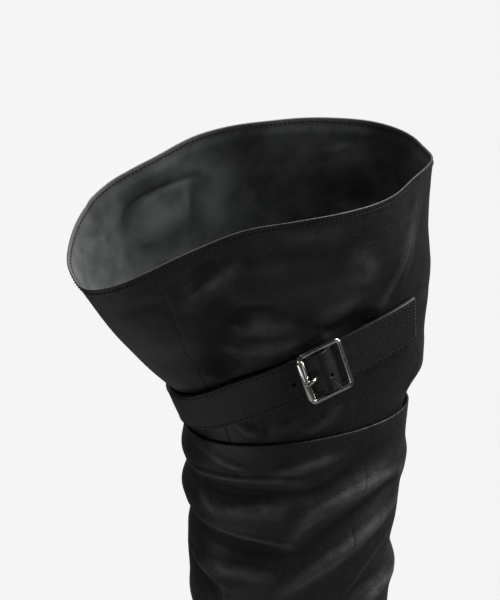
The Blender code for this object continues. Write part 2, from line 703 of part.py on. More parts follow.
def make_outsole(material):
    """The full-length outsole, from the toe to the back of the heel seat."""
    stations, outer, inner = sole_outline(SOLE_MARGIN)
    top = sole_line(stations) - SOLE_GAP
    return make_slab("outsole", stations, outer, inner, top, sole_underside(stations), material)


def make_insole(material):
    """The footbed inside, on the turned-in edge of the upper."""
    stations, outer, inner = sole_outline(-INSOLE_INSET)
    bottom = sole_line(stations) + INSOLE_RISE
    return make_slab("insole", stations, outer, inner, bottom + INSOLE_THICKNESS, bottom, material)


def heel_ring(taper):
    """The heel's outline, drawn in by a share of its taper: round the back, with a straight breast."""
    stations, outer, inner = sole_outline(SOLE_MARGIN - HEEL_INSET)
    x = np.concatenate([stations[stations < HEEL_BREAST - MM], [HEEL_BREAST]])
    outer_y, inner_y = (np.interp(x, stations, side) * (1 - taper * HEEL_TAPER) for side in (outer, inner))
    x = HEEL_BREAST + (x - HEEL_BREAST) * (1 - taper * HEEL_BACK_TAPER)
    return np.vstack([np.stack([x, outer_y], -1)[::-1], np.stack([x, inner_y], -1)[1:]])


def stack_rings(name, rings, material, loop=False):
    """A closed solid through rings of the same count of points, with flat ends unless it is a loop."""
    rings = np.asarray(rings)
    ids = np.arange(rings.shape[0] * rings.shape[1]).reshape(rings.shape[:2])
    ends = [] if loop else [tuple(ids[0]), tuple(ids[-1])]
    ids = np.vstack([ids, ids[:1]]) if loop else ids
    ahead, beside = ids[1:], np.roll(ids, -1, axis=1)
    sides = np.stack([ids[:-1], beside[:-1], beside[1:], ahead], -1).reshape(-1, 4)
    return add_object(name, rings.reshape(-1, 3), [*map(tuple, sides), *ends], material)


def make_heel_block(material):
    """The block heel, from the outsole down to its top piece, drawn in a little at its middle."""
    foot_z = TOP_PIECE_THICKNESS + GAP
    rings = []
    for share in np.linspace(0, 1, HEEL_RINGS):
        ring = heel_ring(1 - share)
        seat = sole_underside(ring[:, 0]) - SOLE_GAP
        waist = HEEL_WAIST * math.sin(share * math.pi)
        middle = np.array([ring[:, 0].mean(), 0])
        pulled = ring - waist * (ring - middle) / np.linalg.norm(ring - middle, axis=1, keepdims=True)
        rings.append(np.column_stack([pulled, foot_z + (seat - foot_z) * share]))
    return stack_rings("heel_block", rings, material)


def make_heel_top_piece(material):
    """The rubber top piece that the heel walks on."""
    ring = heel_ring(1)
    rings = [np.column_stack([ring, np.full(len(ring), z)]) for z in (0, TOP_PIECE_THICKNESS)]
    return stack_rings("heel_top_piece", rings, material)


def make_material(name, colour, roughness, metallic=0.0):
    """A plain finish."""
    material = bpy.data.materials.new(name)
    material.use_nodes = True
    shader = material.node_tree.nodes["Principled BSDF"]
    shader.inputs["Base Color"].default_value = (*colour, 1)
    shader.inputs["Roughness"].default_value = roughness
    shader.inputs["Metallic"].default_value = metallic
    return material


def stand_over_origin(pieces):
    """Parents the pieces to one empty, moved so that the middle of their box is over the origin."""
    bpy.context.view_layer.update()
    graph = bpy.context.evaluated_depsgraph_get()
    corners = []
    for piece in pieces:
        mesh = piece.evaluated_get(graph).to_mesh()
        co = np.empty(len(mesh.vertices) * 3, np.float32)
        mesh.vertices.foreach_get("co", co)
        corners.append(co.reshape(-1, 3))
        piece.evaluated_get(graph).to_mesh_clear()
    points = np.vstack(corners)
    middle = (points.min(0) + points.max(0)) / 2
    stand = bpy.data.objects.new("boot", None)
    bpy.context.scene.collection.objects.link(stand)
    stand.location = (-middle[0], -middle[1], -points[:, 2].min())
    for piece in pieces:
        piece.parent = stand


def main():
    """Builds every piece of the boot."""
    for old in list(bpy.data.objects):
        bpy.data.objects.remove(old)
    leather = make_material("black_leather", (0.012, 0.012, 0.013), 0.55)
    strap_leather = make_material("strap_leather", (0.016, 0.016, 0.017), 0.5)
    steel = make_material("polished_steel", (0.8, 0.79, 0.76), 0.12, 1.0)
    rubber = make_material("sole_rubber", (0.02, 0.02, 0.02), 0.7)
    lining = make_material("lining_cloth", (0.08, 0.085, 0.09), 0.8)
    pieces = [
        make_upper(leather),
        make_cuff(leather),
        make_strap(strap_leather),
        make_buckle_frame(steel),
        make_buckle_roller(steel),
        make_buckle_prong(steel),
        make_outsole(rubber),
        make_insole(lining),
        make_heel_block(leather),
        make_heel_top_piece(rubber),
    ]
    stand_over_origin(pieces)


if __name__ == "__main__":
    main()
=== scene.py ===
"""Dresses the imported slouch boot: a soft black shaft, a flared and lined cuff, a strap and its buckle.

The boot's own sizes are in metres with the toe along +X, the outer side of the left foot along +Y and
the floor at z = 0. Every ring is read by a turn angle: 0 at the front or the ridge of the foot, a
quarter turn at the outer side and half a turn at the back or the sole. Each piece repeats the form of
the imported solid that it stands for, more finely, with its creases, seams, stitches and finish.
"""

from __future__ import annotations

import json
import logging
import math
from dataclasses import dataclass, field
from enum import Enum
from typing import Mapping, NamedTuple, Sequence, Union

import bpy
import numpy as np
from mathutils import Matrix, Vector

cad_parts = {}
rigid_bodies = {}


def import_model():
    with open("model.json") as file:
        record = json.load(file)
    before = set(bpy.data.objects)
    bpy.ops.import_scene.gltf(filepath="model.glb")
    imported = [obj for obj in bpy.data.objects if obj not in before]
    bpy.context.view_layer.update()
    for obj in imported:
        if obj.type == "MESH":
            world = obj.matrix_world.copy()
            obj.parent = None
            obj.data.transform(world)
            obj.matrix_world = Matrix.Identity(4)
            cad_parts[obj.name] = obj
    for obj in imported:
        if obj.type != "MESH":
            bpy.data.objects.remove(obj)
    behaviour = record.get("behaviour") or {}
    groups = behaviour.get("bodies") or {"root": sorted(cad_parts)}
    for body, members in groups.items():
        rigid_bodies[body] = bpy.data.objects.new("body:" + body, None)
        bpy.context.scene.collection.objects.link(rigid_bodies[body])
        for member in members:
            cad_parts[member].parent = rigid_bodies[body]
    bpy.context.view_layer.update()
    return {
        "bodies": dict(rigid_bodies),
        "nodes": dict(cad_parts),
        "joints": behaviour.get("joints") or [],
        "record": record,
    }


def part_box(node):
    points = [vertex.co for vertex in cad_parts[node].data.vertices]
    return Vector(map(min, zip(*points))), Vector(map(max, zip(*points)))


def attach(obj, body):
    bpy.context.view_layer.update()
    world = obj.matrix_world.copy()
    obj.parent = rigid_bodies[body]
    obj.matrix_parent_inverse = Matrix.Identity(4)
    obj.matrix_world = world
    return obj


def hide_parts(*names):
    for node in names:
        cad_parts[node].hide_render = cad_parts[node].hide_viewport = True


LOG = logging.getLogger("slouch_boot")
Array = np.ndarray
MM = 0.001
TINY = 1e-9
IMAGE_SIZE = (500, 600)


class Slot(Enum):
    """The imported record's finishes."""

    SHAFT = "shaft_leather"
    CUFF = "cuff_leather"
    STRAP = "strap_leather"
    STEEL = "polished_steel"
    RUBBER = "sole_rubber"
    HEEL = "heel_leather"
    LINING = "lining_cloth"


# Sums on whole arrays


def smooth_step(share: Array) -> Array:
    """A ramp from 0 to 1 with level ends, 3 s squared less 2 s cubed."""
    share = np.clip(share, 0, 1)
    return share * share * (3 - 2 * share)


def signed_power(value: Array, power: Array) -> Array:
    """A power that keeps the sign, for rounded-square rings."""
    return np.sign(value) * np.abs(value) ** power


def turn_between(turn: Array, centre: float) -> Array:
    """The angle from centre to turn, from minus to plus half a turn."""
    return (turn - centre + math.pi) % (2 * math.pi) - math.pi


def window(share: Array) -> Array:
    """A squared cosine: 1 at the middle, falling smoothly to 0 at plus and minus 1."""
    return np.cos(np.clip(share, -1, 1) * math.pi / 2) ** 2


def hump(distance: Array, breadth: float) -> Array:
    """A bell, e to the minus squared share of its breadth."""
    return np.exp(-((distance / breadth) ** 2))


def unit(vectors: Array) -> Array:
    """Vectors of length 1 along the last axis."""
    return vectors / np.maximum(np.linalg.norm(vectors, axis=-1, keepdims=True), TINY)


def spline(rows: Array, places: Array, before: Union[Array, None] = None) -> Array:
    """Rows of a table read at fractional places, by a Catmull-Rom curve through every row.

    Args:
        rows: The table, a row for each whole place.
        places: Where to read it, an array of any shape.
        before: The row taken before the first; the first step carried backwards if None.

    Returns:
        An array of the shape of places with the table's columns along a last axis.
    """
    first = 2 * rows[0] - rows[1] if before is None else before
    held = np.vstack([first, rows, 2 * rows[-1] - rows[-2]])
    low = np.clip(np.floor(places).astype(int), 0, len(rows) - 2)
    s = (places - low)[..., None]
    a, b, c, d = (held[low + step] for step in range(4))
    return b + 0.5 * s * (c - a + s * (2 * a - 5 * b + 4 * c - d + s * (3 * (b - c) + d - a)))


def running_length(points: Array) -> Array:
    """The length run along each line of points, for lines along the second axis."""
    steps = np.linalg.norm(np.diff(points, axis=1), axis=-1)
    return np.concatenate([np.zeros((len(points), 1)), np.cumsum(steps, axis=1)], axis=1)


def read_along(run: Array, values: Array, wanted: Array) -> Array:
    """Values of each line read at wanted lengths, straight between its points.

    Args:
        run: The running length at each point, (lines, points).
        values: What is read, (lines, points, columns).
        wanted: The lengths to read at, (lines, readings).

    Returns:
        The readings, (lines, readings, columns).
    """
    low = (run[:, None, 1:-1] <= wanted[..., None]).sum(-1)
    start, stop = (np.take_along_axis(run, low + step, 1) for step in (0, 1))
    share = ((wanted - start) / np.maximum(stop - start, TINY))[..., None]
    first, second = (np.take_along_axis(values, (low + step)[..., None], 1) for step in (0, 1))
    return first + share * (second - first)


def ring_normals(grid: Array) -> Array:
    """Outward unit normals of closed rings: the step round each ring crossed with the step between rings."""
    around = np.roll(grid, -1, axis=1) - np.roll(grid, 1, axis=1)
    return unit(np.cross(around, np.gradient(grid, axis=0)))


def closed_up(grid: Array) -> Array:
    """A grid with its first column repeated at its end."""
    return np.concatenate([grid, grid[:, :1]], axis=1)


# Meshes


def add_piece(
    name: str,
    points: Array,
    faces: list[list[int]],
    finishes: Sequence[bpy.types.Material],
    face_finish: Union[Array, None] = None,
    layers: Union[Mapping[str, Array], None] = None,
) -> bpy.types.Object:
    """Makes a smooth mesh piece that rides on the boot.

    Args:
        name: The piece's name.
        points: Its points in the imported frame, (points, 3).
        faces: The points of each face.
        finishes: Its materials.
        face_finish: Which material each face has, or None where there is one.
        layers: UV maps by name, (corners, 2), in the order of the faces.

    Returns:
        The new object.
    """
    mesh = bpy.data.meshes.new(name)
    mesh.from_pydata(points.tolist(), [], faces)
    for layer, corners in (layers or {}).items():
        mesh.uv_layers.new(name=layer).data.foreach_set("uv", corners.astype(np.float32).ravel())
    for finish in finishes:
        mesh.materials.append(finish)
    if face_finish is not None:
        mesh.polygons.foreach_set("material_index", face_finish.astype(np.int32))
    mesh.shade_smooth()
    mesh.update()
    piece = bpy.data.objects.new(name, mesh)
    bpy.context.scene.collection.objects.link(piece)
    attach(piece, "root")
    LOG.info("%s: %d faces", name, len(faces))
    return piece


@dataclass
class RingSkin:
    """Closed rings joined into one skin; a ring that is a single spot becomes a pole.

    Fields:
        points: The rings, (rings, sides, 3).
        bands: The finish of each strip between two rings.
        layers: UV maps by name, (rings, sides + 1, 2).
        joined: Whether the last ring meets the first, as in a wall with two skins.
    """

    points: Array
    bands: Array
    layers: dict[str, Array] = field(default_factory=dict)
    joined: bool = False

    def to_piece(self, name: str, finishes: Sequence[bpy.types.Material]) -> bpy.types.Object:
        """Makes the piece: quads between rings, and triangles at a pole.

        Args:
            name: The piece's name.
            finishes: The materials that the bands name.

        Returns:
            The new object.
        """
        rings, sides = self.points.shape[:2]
        ids = np.arange(rings * sides).reshape(rings, sides)
        spot = np.ptp(self.points, axis=1).max(axis=-1) < TINY
        ids[spot] = ids[spot, :1]
        corner = np.arange(rings * (sides + 1)).reshape(rings, sides + 1)
        if self.joined:
            ids, corner = np.vstack([ids, ids[:1]]), np.vstack([corner, corner[:1]])
        beside = np.roll(ids, -1, axis=1)
        quads = np.stack([ids[:-1], beside[:-1], beside[1:], ids[1:]], -1).reshape(-1, 4)
        spread = [corner[:-1, :-1], corner[:-1, 1:], corner[1:, 1:], corner[1:, :-1]]
        corners = np.stack(spread, -1).reshape(-1, 4)
        bands = np.repeat(self.bands, sides)
        low, high = quads[:, 0] == quads[:, 1], quads[:, 2] == quads[:, 3]
        kinds = ((~(low | high), [0, 1, 2, 3]), (low & ~high, [0, 2, 3]), (high & ~low, [0, 1, 2]))
        used, renumbered = np.unique(quads, return_inverse=True)
        quads = renumbered.reshape(-1, 4)
        faces = [face for rows, columns in kinds for face in quads[rows][:, columns].tolist()]
        order = np.concatenate([corners[rows][:, columns].ravel() for rows, columns in kinds])
        layers = {layer: uv.reshape(-1, 2)[order] for layer, uv in self.layers.items()}
        face_finish = np.concatenate([bands[rows] for rows, _ in kinds])
        return add_piece(name, self.points.reshape(-1, 3)[used], faces, finishes, face_finish, layers)


def loft_piece(name: str, rings: Array, finish: bpy.types.Material, loop: bool = False) -> bpy.types.Object:
    """Makes one piece of one or many lofts: sides between rings, and a flat face at each open end.

    Args:
        name: The piece's name.
        rings: The rings of each loft, (lofts, rings, sides, 3), turning with the way ahead.
        finish: Its material.
        loop: Whether each loft's last ring meets its first.

    Returns:
        The new object.
    """
    ids = np.arange(np.prod(rings.shape[:3])).reshape(rings.shape[:3])
    ends = [] if loop else [*ids[:, 0, ::-1].tolist(), *ids[:, -1].tolist()]
    if loop:
        ids = np.concatenate([ids, ids[:, :1]], axis=1)
    beside = np.roll(ids, -1, axis=2)
    quads = np.stack([ids[:, :-1], beside[:, :-1], beside[:, 1:], ids[:, 1:]], -1).reshape(-1, 4)
    return add_piece(name, rings.reshape(-1, 3), quads.tolist() + ends, [finish])


def rounded_profile(half_width: float, half_height: float, squareness: float, sides: int) -> Array:
    """A rounded-square outline: the powers of cosine and sine that squareness gives.

    Args:
        half_width: Half its width.
        half_height: Half its height.
        squareness: 2 for an ellipse, more for squarer corners.
        sides: How many points it has.

    Returns:
        The points, (sides, 2).
    """
    turns = np.arange(sides) * 2 * math.pi / sides
    power = 2 / squareness
    across = half_width * signed_power(np.cos(turns), power)
    return np.stack([across, half_height * signed_power(np.sin(turns), power)], -1)


def with_poles(rings: Array) -> Array:
    """Rings with a ring shrunk to the middle of the first and of the last added at the two ends."""
    ends = (end.mean(1, keepdims=True).repeat(rings.shape[1], 1) for end in (rings[:1], rings[-1:]))
    return np.concatenate([next(ends), rings, next(ends)])


# Shader maths


@dataclass(frozen=True, eq=False)
class Signal:
    """A shader socket that takes part in Python sums; each sum adds a Math node."""

    graph: "Graph"
    socket: bpy.types.NodeSocket

    def math(self, operation: str, *values: "Level") -> "Signal":
        """A Math node's result, with the values in order."""
        node = self.graph.node("ShaderNodeMath", {"operation": operation}, dict(enumerate(values)))
        return Signal(self.graph, node.outputs[0])

    def __add__(self, other: "Level") -> "Signal":
        """This plus other."""
        return self.math("ADD", self, other)

    def __radd__(self, other: "Level") -> "Signal":
        """Other plus this."""
        return self.math("ADD", other, self)

    def __sub__(self, other: "Level") -> "Signal":
        """This less other."""
        return self.math("SUBTRACT", self, other)

    def __rsub__(self, other: "Level") -> "Signal":
        """Other less this."""
        return self.math("SUBTRACT", other, self)

    def __mul__(self, other: "Level") -> "Signal":
        """This times other."""
        return self.math("MULTIPLY", self, other)

    def __rmul__(self, other: "Level") -> "Signal":
        """Other times this."""
        return self.math("MULTIPLY", other, self)

    def __abs__(self) -> "Signal":
        """The size of this without its sign."""
        return self.math("ABSOLUTE", self)

    def sine(self) -> "Signal":
        """The sine of this, in radians."""
        return self.math("SINE", self)

    def ramp(self, low: float, high: float) -> "Signal":
        """A smooth climb from 0 to 1.

        Args:
            low: Where it starts.
            high: Where it ends.

        Returns:
            The climb.
        """
        inputs = {"Value": self, "From Min": low, "From Max": high}
        node = self.graph.node("ShaderNodeMapRange", {"interpolation_type": "SMOOTHSTEP"}, inputs)
        return Signal(self.graph, node.outputs[0])


Level = Union[Signal, float]
PEBBLE_SMOOTHNESS = 0.6


class Graph:
    """The node tree of a material or the world, with its shader and signals to feed it."""

    def __init__(
        self, owner: Union[bpy.types.Material, bpy.types.World], shader: str = "Principled BSDF"
    ) -> None:
        """Starts from the owner's default shader.

        Args:
            owner: The material or world.
            shader: The name of its default shader.
        """
        owner.use_nodes = True
        self.owner, self.tree = owner, owner.node_tree
        self.shader = self.tree.nodes[shader]

    def put(self, node: bpy.types.Node, inputs: Mapping[Union[str, int], object]) -> None:
        """Sets or links a node's sockets.

        Args:
            node: The node.
            inputs: Values, signals or sockets by the input's name or number.
        """
        for key, value in inputs.items():
            socket = node.inputs[key]
            if isinstance(value, Signal):
                self.tree.links.new(value.socket, socket)
            elif isinstance(value, bpy.types.NodeSocket):
                self.tree.links.new(value, socket)
            else:
                socket.default_value = value

    def node(
        self, kind: str, settings: Mapping[str, object], inputs: Mapping[Union[str, int], object]
    ) -> bpy.types.Node:
        """Adds a node.

        Args:
            kind: The node's type.
            settings: Its properties, which are set first.
            inputs: Values or links of its sockets.

        Returns:
            The new node.
        """
        made = self.tree.nodes.new(kind)
        for setting, value in settings.items():
            setattr(made, setting, value)
        self.put(made, inputs)
        return made

    def place(self) -> bpy.types.NodeSocket:
        """The piece's own coordinates, in metres."""
        return self.node("ShaderNodeTexCoord", {}, {}).outputs["Object"]

    def noise(self, size: float, detail: float = 2.0, roughness: float = 0.5) -> Signal:
        """Soft noise from 0 to 1, with spots about size across."""
        inputs = {"Vector": self.place(), "Scale": 1 / size, "Detail": detail, "Roughness": roughness}
        return Signal(self, self.node("ShaderNodeTexNoise", {}, inputs).outputs["Fac"])

    def pebbles(self, size: float) -> Signal:
        """Rounded cells, 0 at the middle of each.

        Args:
            size: About how far across a cell is.

        Returns:
            The distance from the nearest middles, smoothed.
        """
        inputs = {"Vector": self.place(), "Scale": 1 / size, "Smoothness": PEBBLE_SMOOTHNESS}
        cells = self.node("ShaderNodeTexVoronoi", {"feature": "SMOOTH_F1"}, inputs)
        return Signal(self, cells.outputs["Distance"])

    def layer(self, name: str) -> tuple[Signal, Signal]:
        """Reads one of the piece's UV maps.

        Args:
            name: The map's name.

        Returns:
            Its two numbers.
        """
        uv = self.node("ShaderNodeUVMap", {"uv_map": name}, {}).outputs["UV"]
        split = self.node("ShaderNodeSeparateXYZ", {}, {"Vector": uv})
        return Signal(self, split.outputs["X"]), Signal(self, split.outputs["Y"])

    def blend(self, share: Level, first: Sequence[float], second: Sequence[float]) -> bpy.types.NodeSocket:
        """A colour between two.

        Args:
            share: 0 for the first colour, 1 for the second.
            first: Numbers or a socket.
            second: Numbers or a socket.

        Returns:
            The colour's socket.
        """
        node = self.node("ShaderNodeMix", {"data_type": "RGBA"}, {0: share})
        for socket, colour in ((node.inputs[6], first), (node.inputs[7], second)):
            self.put_colour(socket, colour)
        return node.outputs[2]

    def put_colour(self, socket: bpy.types.NodeSocket, colour: object) -> None:
        """Sets or links a colour socket.

        Args:
            socket: The input.
            colour: Three numbers or another socket.
        """
        if isinstance(colour, bpy.types.NodeSocket):
            self.tree.links.new(colour, socket)
        else:
            socket.default_value = (*colour, 1)

    def relief(self, height: Signal) -> None:
        """Gives the shader a bump of that height, in millimetres."""
        node = self.node("ShaderNodeBump", {}, {"Height": height, "Distance": MM, "Strength": 1.0})
        self.put(self.shader, {"Normal": node.outputs["Normal"]})


@dataclass(frozen=True)
class SeamLine:
    """A sewn seam on a UV map of distance and side: its half width, its groove and its rolled edges."""

    layer: str
    half_width: float = 0.5 * MM
    depth: float = 0.14
    roll: float = 2.2 * MM
    roll_depth: float = 0.18
    facing: tuple[float, float] = (0.0, 0.2)

    def shares(self, graph: Graph) -> tuple[Signal, Signal]:
        """How deep the seam is: a climb over its half width, and a wider one over its rolled edges.

        Args:
            graph: The material's nodes.

        Returns:
            The groove and the rolled edges, from 0 to 1.
        """
        gap, side = graph.layer(self.layer)
        facing = side.ramp(*self.facing)
        distance = abs(gap)
        groove = (1 - distance.ramp(0.0, self.half_width)) * facing
        rolled = (1 - distance.ramp(0.0, self.roll)) * facing
        return groove, rolled


@dataclass(frozen=True)
class SoftLeather:
    """Soft matt black leather: a fine grain, a napped sheen in cloudy patches, sewn seams, painted highlight on
    crease crests and painted shade in their hollows.
    """

    colour: tuple[float, float, float] = (0.007, 0.007, 0.0072)
    worn: tuple[float, float, float] = (0.015, 0.015, 0.0152)
    roughness: float = 0.42
    roughness_spread: float = 0.10
    specular: float = 0.5
    grain_size: float = 0.7 * MM
    grain_depth: float = 0.12
    fine_size: float = 0.7 * MM
    fine_roughness: float = 0.08
    speck_share: float = 0.5
    speck_range: tuple[float, float] = (0.5, 0.8)
    cloud_size: float = 10 * MM
    cloud_detail: tuple[float, float] = (3.0, 0.55)
    cloud_depth: float = 0.55
    cloud_range: tuple[float, float] = (0.35, 0.75)
    sheen: float = 0.01
    sheen_roughness: float = 0.45
    painted_light_layer: str = ""
    painted_highlight_range: tuple[float, float] = (0.1, 1.3)
    painted_highlight_cloud: tuple[float, float] = (0.25, 0.65)
    painted_shade_range: tuple[float, float] = (0.1, 1.0)
    speck_and_painted_highlight: tuple[float, float, float] = (0.085, 0.084, 0.083)
    painted_shade_tone: tuple[float, float, float] = (0.003, 0.003, 0.003)
    hollow_roughness: float = 0.22
    seams: tuple[SeamLine, ...] = ()
    seam_colour: tuple[float, float, float] = (0.002, 0.002, 0.002)
    stitch_layer: str = ""
    stitch_place: float = 2.6 * MM
    stitch_pull: float = 0.9 * MM
    stitch_depth: float = 0.16

    def material(self, name: str) -> bpy.types.Material:
        """Makes the finish.

        Args:
            name: The material's name.

        Returns:
            The material.
        """
        graph = Graph(bpy.data.materials.new(name))
        grain = graph.pebbles(self.grain_size)
        fine = graph.noise(self.fine_size, 1.0)
        cloud = graph.noise(self.cloud_size, *self.cloud_detail)
        height = self.grain_depth * (grain + fine) + self.cloud_depth * cloud
        dark: Level = 0.0
        for seam in self.seams:
            groove, rolled = seam.shares(graph)
            height = height - seam.depth * groove - seam.roll_depth * rolled
            dark = groove + dark
        if self.stitch_layer:
            _, down = graph.layer(self.stitch_layer)
            pull = 1 - abs(down - self.stitch_place).ramp(0.0, self.stitch_pull)
            height = height - self.stitch_depth * pull
            dark = 0.5 * pull + dark
        colour = graph.blend(cloud.ramp(*self.cloud_range), self.colour, self.worn)
        # Fine grain specks, at random, take the same pale tone that paints the crests' highlight.
        colour = graph.blend(self.speck_share * fine.ramp(*self.speck_range), colour, self.speck_and_painted_highlight)
        rough = (self.roughness + 0.5 * self.roughness_spread) - self.roughness_spread * cloud
        rough = rough + self.fine_roughness * fine
        # Where the creases' map is given, the crests are painted lighter as a painted highlight and the hollows
        # darker as a painted shade.
        if self.painted_light_layer:
            rise, _ = graph.layer(self.painted_light_layer)
            sunk = (0 - rise).ramp(*self.painted_shade_range)
            handling_marks_and_painted_highlight = rise.ramp(*self.painted_highlight_range) * (cloud.ramp(*self.painted_highlight_cloud) * 0.6 + 0.4)
            colour = graph.blend(handling_marks_and_painted_highlight, colour, self.speck_and_painted_highlight)
            colour = graph.blend(sunk, colour, self.painted_shade_tone)
            rough = rough + self.hollow_roughness * sunk
        if isinstance(dark, Signal):
            colour = graph.blend(dark.ramp(0.0, 1.0), colour, self.seam_colour)
        graph.put_colour(graph.shader.inputs["Base Color"], colour)
        graph.put(graph.shader, {
            "Roughness": rough,
            "Specular IOR Level": self.specular,
            "Sheen Weight": self.sheen,
            "Sheen Roughness": self.sheen_roughness,
        })
        graph.relief(height)
        return graph.owner


@dataclass(frozen=True)
class LiningCloth:
    """Grey woven lining: fine twill lines, cloudy patches, painted highlight on crease crests and painted shade
    in their hollows, and a stitched hem along an edge where there is one.
    """

    colour: tuple[float, float, float] = (0.112, 0.117, 0.116)
    shade: tuple[float, float, float] = (0.060, 0.064, 0.064)
    hem: tuple[float, float, float] = (0.13, 0.133, 0.13)
    roughness: float = 0.62
    specular: float = 0.35
    cloud_size: float = 14 * MM
    cloud_detail: tuple[float, float] = (3.0, 0.55)
    cloud_range: tuple[float, float] = (0.3, 0.7)
    fine_size: float = 0.5 * MM
    pitch: float = 0.8 * MM
    depth: float = 0.10
    painted_light_layer: str = ""
    speck_and_painted_highlight: tuple[float, float, float] = (0.16, 0.165, 0.165)
    painted_shade_tone: tuple[float, float, float] = (0.04, 0.042, 0.042)
    painted_light_range: tuple[float, float] = (0.1, 1.0)
    layer: str = ""
    hem_width: float = 1.3 * MM
    hem_edge: float = 0.5 * MM
    rib_pitch_share: float = 1.3
    stitch_place: float = 2.0 * MM
    stitch_pull: float = 0.7 * MM
    stitch_depth: float = 0.2
    stitch_shade: float = 0.45
    stitch_colour: tuple[float, float, float] = (0.01, 0.01, 0.01)

    def material(self, name: str) -> bpy.types.Material:
        """Makes the finish.

        Args:
            name: The material's name.

        Returns:
            The material.
        """
        graph = Graph(bpy.data.materials.new(name))
        cloud = graph.noise(self.cloud_size, *self.cloud_detail)
        fine = graph.noise(self.fine_size, 1.0)
        height = 0.25 * cloud + 0.05 * fine
        colour = graph.blend(cloud.ramp(*self.cloud_range), self.shade, self.colour)
        # Painted highlight: the creases' crests are lighter; painted shade: their hollows are darker.
        if self.painted_light_layer:
            rise, _ = graph.layer(self.painted_light_layer)
            colour = graph.blend(rise.ramp(*self.painted_light_range), colour, self.speck_and_painted_highlight)
            colour = graph.blend((0 - rise).ramp(*self.painted_light_range), colour, self.painted_shade_tone)
        if self.layer:
            around, down = graph.layer(self.layer)
            twist = 2 * math.pi / self.pitch
            twill = ((around + down) * twist).sine()
            ribs = (around * (self.rib_pitch_share * twist)).sine()
            within = 1 - abs(down).ramp(self.hem_width, self.hem_width + self.hem_edge)
            pull = 1 - abs(abs(down) - self.stitch_place).ramp(0.0, self.stitch_pull)
            height = height + self.depth * twill + within * (0.1 + 0.05 * ribs) - self.stitch_depth * pull
            colour = graph.blend(within, colour, self.hem)
            colour = graph.blend(self.stitch_shade * pull, colour, self.stitch_colour)
        graph.put_colour(graph.shader.inputs["Base Color"], colour)
        graph.put(graph.shader, {"Roughness": self.roughness + 0.1 * fine, "Specular IOR Level": self.specular})
        graph.relief(height)
        return graph.owner


@dataclass(frozen=True)
class PolishedNickel:
    """Bright nickel plating with faint handling marks, and a painted reflection: darker where it faces the
    camera, bright towards its edges.
    """

    colour: tuple[float, float, float] = (0.95, 0.93, 0.89)
    shade: tuple[float, float, float] = (0.40, 0.375, 0.34)
    painted_dark_core: tuple[float, float] = (0.04, 0.22)
    handling_marks_and_painted_highlight: tuple[float, float, float] = (0.8, 0.78, 0.73)
    roughness: float = 0.12
    mark_size: float = 1.2 * MM
    mark_detail: tuple[float, float] = (3.0, 0.6)
    mark_range: tuple[float, float] = (0.45, 0.8)
    mark_roughness: float = 0.12
    mark_depth: float = 0.004

    def material(self, name: str) -> bpy.types.Material:
        """Makes the finish.

        Args:
            name: The material's name.

        Returns:
            The material.
        """
        graph = Graph(bpy.data.materials.new(name))
        marks = graph.noise(self.mark_size, *self.mark_detail)
        # Painted reflection: the plating is darker where it faces the camera, and only towards its edges does
        # it keep the bright plate.
        edge = graph.node("ShaderNodeLayerWeight", {}, {"Blend": 0.5})
        plate = graph.blend(marks, self.colour, self.handling_marks_and_painted_highlight)
        rounded = Signal(graph, edge.outputs["Facing"]).ramp(*self.painted_dark_core)
        graph.put_colour(graph.shader.inputs["Base Color"], graph.blend(rounded, self.shade, plate))
        rough = self.roughness + self.mark_roughness * marks.ramp(*self.mark_range)
        graph.put(graph.shader, {"Metallic": 1.0, "Roughness": rough})
        graph.relief(self.mark_depth * marks)
        return graph.owner


@dataclass(frozen=True)
class SoleRubber:
    """Matt black rubber, with cross ribs on what faces the floor."""

    colour: tuple[float, float, float] = (0.012, 0.012, 0.012)
    speck_colour: tuple[float, float, float] = (0.022, 0.022, 0.022)
    speck_size: float = 0.8 * MM
    roughness: float = 0.6
    rib_pitch: float = 4 * MM
    rib_depth: float = 0.5
    rib_height: float = 1.2 * MM

    def material(self, name: str) -> bpy.types.Material:
        """Makes the finish.

        Args:
            name: The material's name.

        Returns:
            The material.
        """
        graph = Graph(bpy.data.materials.new(name))
        split = graph.node("ShaderNodeSeparateXYZ", {}, {"Vector": graph.place()})
        along, up = (Signal(graph, split.outputs[axis]) for axis in ("X", "Z"))
        ribs = (along * (2 * math.pi / self.rib_pitch)).sine().ramp(-0.5, 0.5)
        low = 1 - up.ramp(0.4 * self.rib_height, self.rib_height)
        speck = graph.noise(self.speck_size)
        colour = graph.blend(speck, self.colour, self.speck_colour)
        graph.put_colour(graph.shader.inputs["Base Color"], colour)
        graph.put(graph.shader, {"Roughness": self.roughness + 0.15 * speck})
        graph.relief(0.05 * speck - self.rib_depth * ribs * low)
        return graph.owner


@dataclass(frozen=True)
class SewingThread:
    """Black twisted sewing thread with a little gloss."""

    colour: tuple[float, float, float] = (0.012, 0.012, 0.012)
    roughness: float = 0.55
    specular: float = 0.2
    twist_size: float = 0.3 * MM
    twist_light: float = 2.5

    def material(self, name: str) -> bpy.types.Material:
        """Makes the finish.

        Args:
            name: The material's name.

        Returns:
            The material.
        """
        graph = Graph(bpy.data.materials.new(name))
        twist = graph.noise(self.twist_size, 1.0)
        light = tuple(self.twist_light * level for level in self.colour)
        graph.put_colour(graph.shader.inputs["Base Color"], graph.blend(twist, self.colour, light))
        rough = self.roughness + 0.2 * twist
        graph.put(graph.shader, {"Roughness": rough, "Specular IOR Level": self.specular})
        graph.relief(0.06 * twist)
        return graph.owner


# Creases and folds


class Crease(NamedTuple):
    """A soft ridge, or a trough where depth is negative, along a curve through three places.

    Each place is a turn angle in degrees and a height in millimetres; depth and breadth are millimetres.
    """

    turn_a: float
    height_a: float
    turn_b: float
    height_b: float
    turn_c: float
    height_c: float
    depth: float
    breadth: float


CREASE_RADIUS = 58.0
CREASE_STEPS = 28
CREASE_REACH = 3
CREASE_END_POWER = 0.7


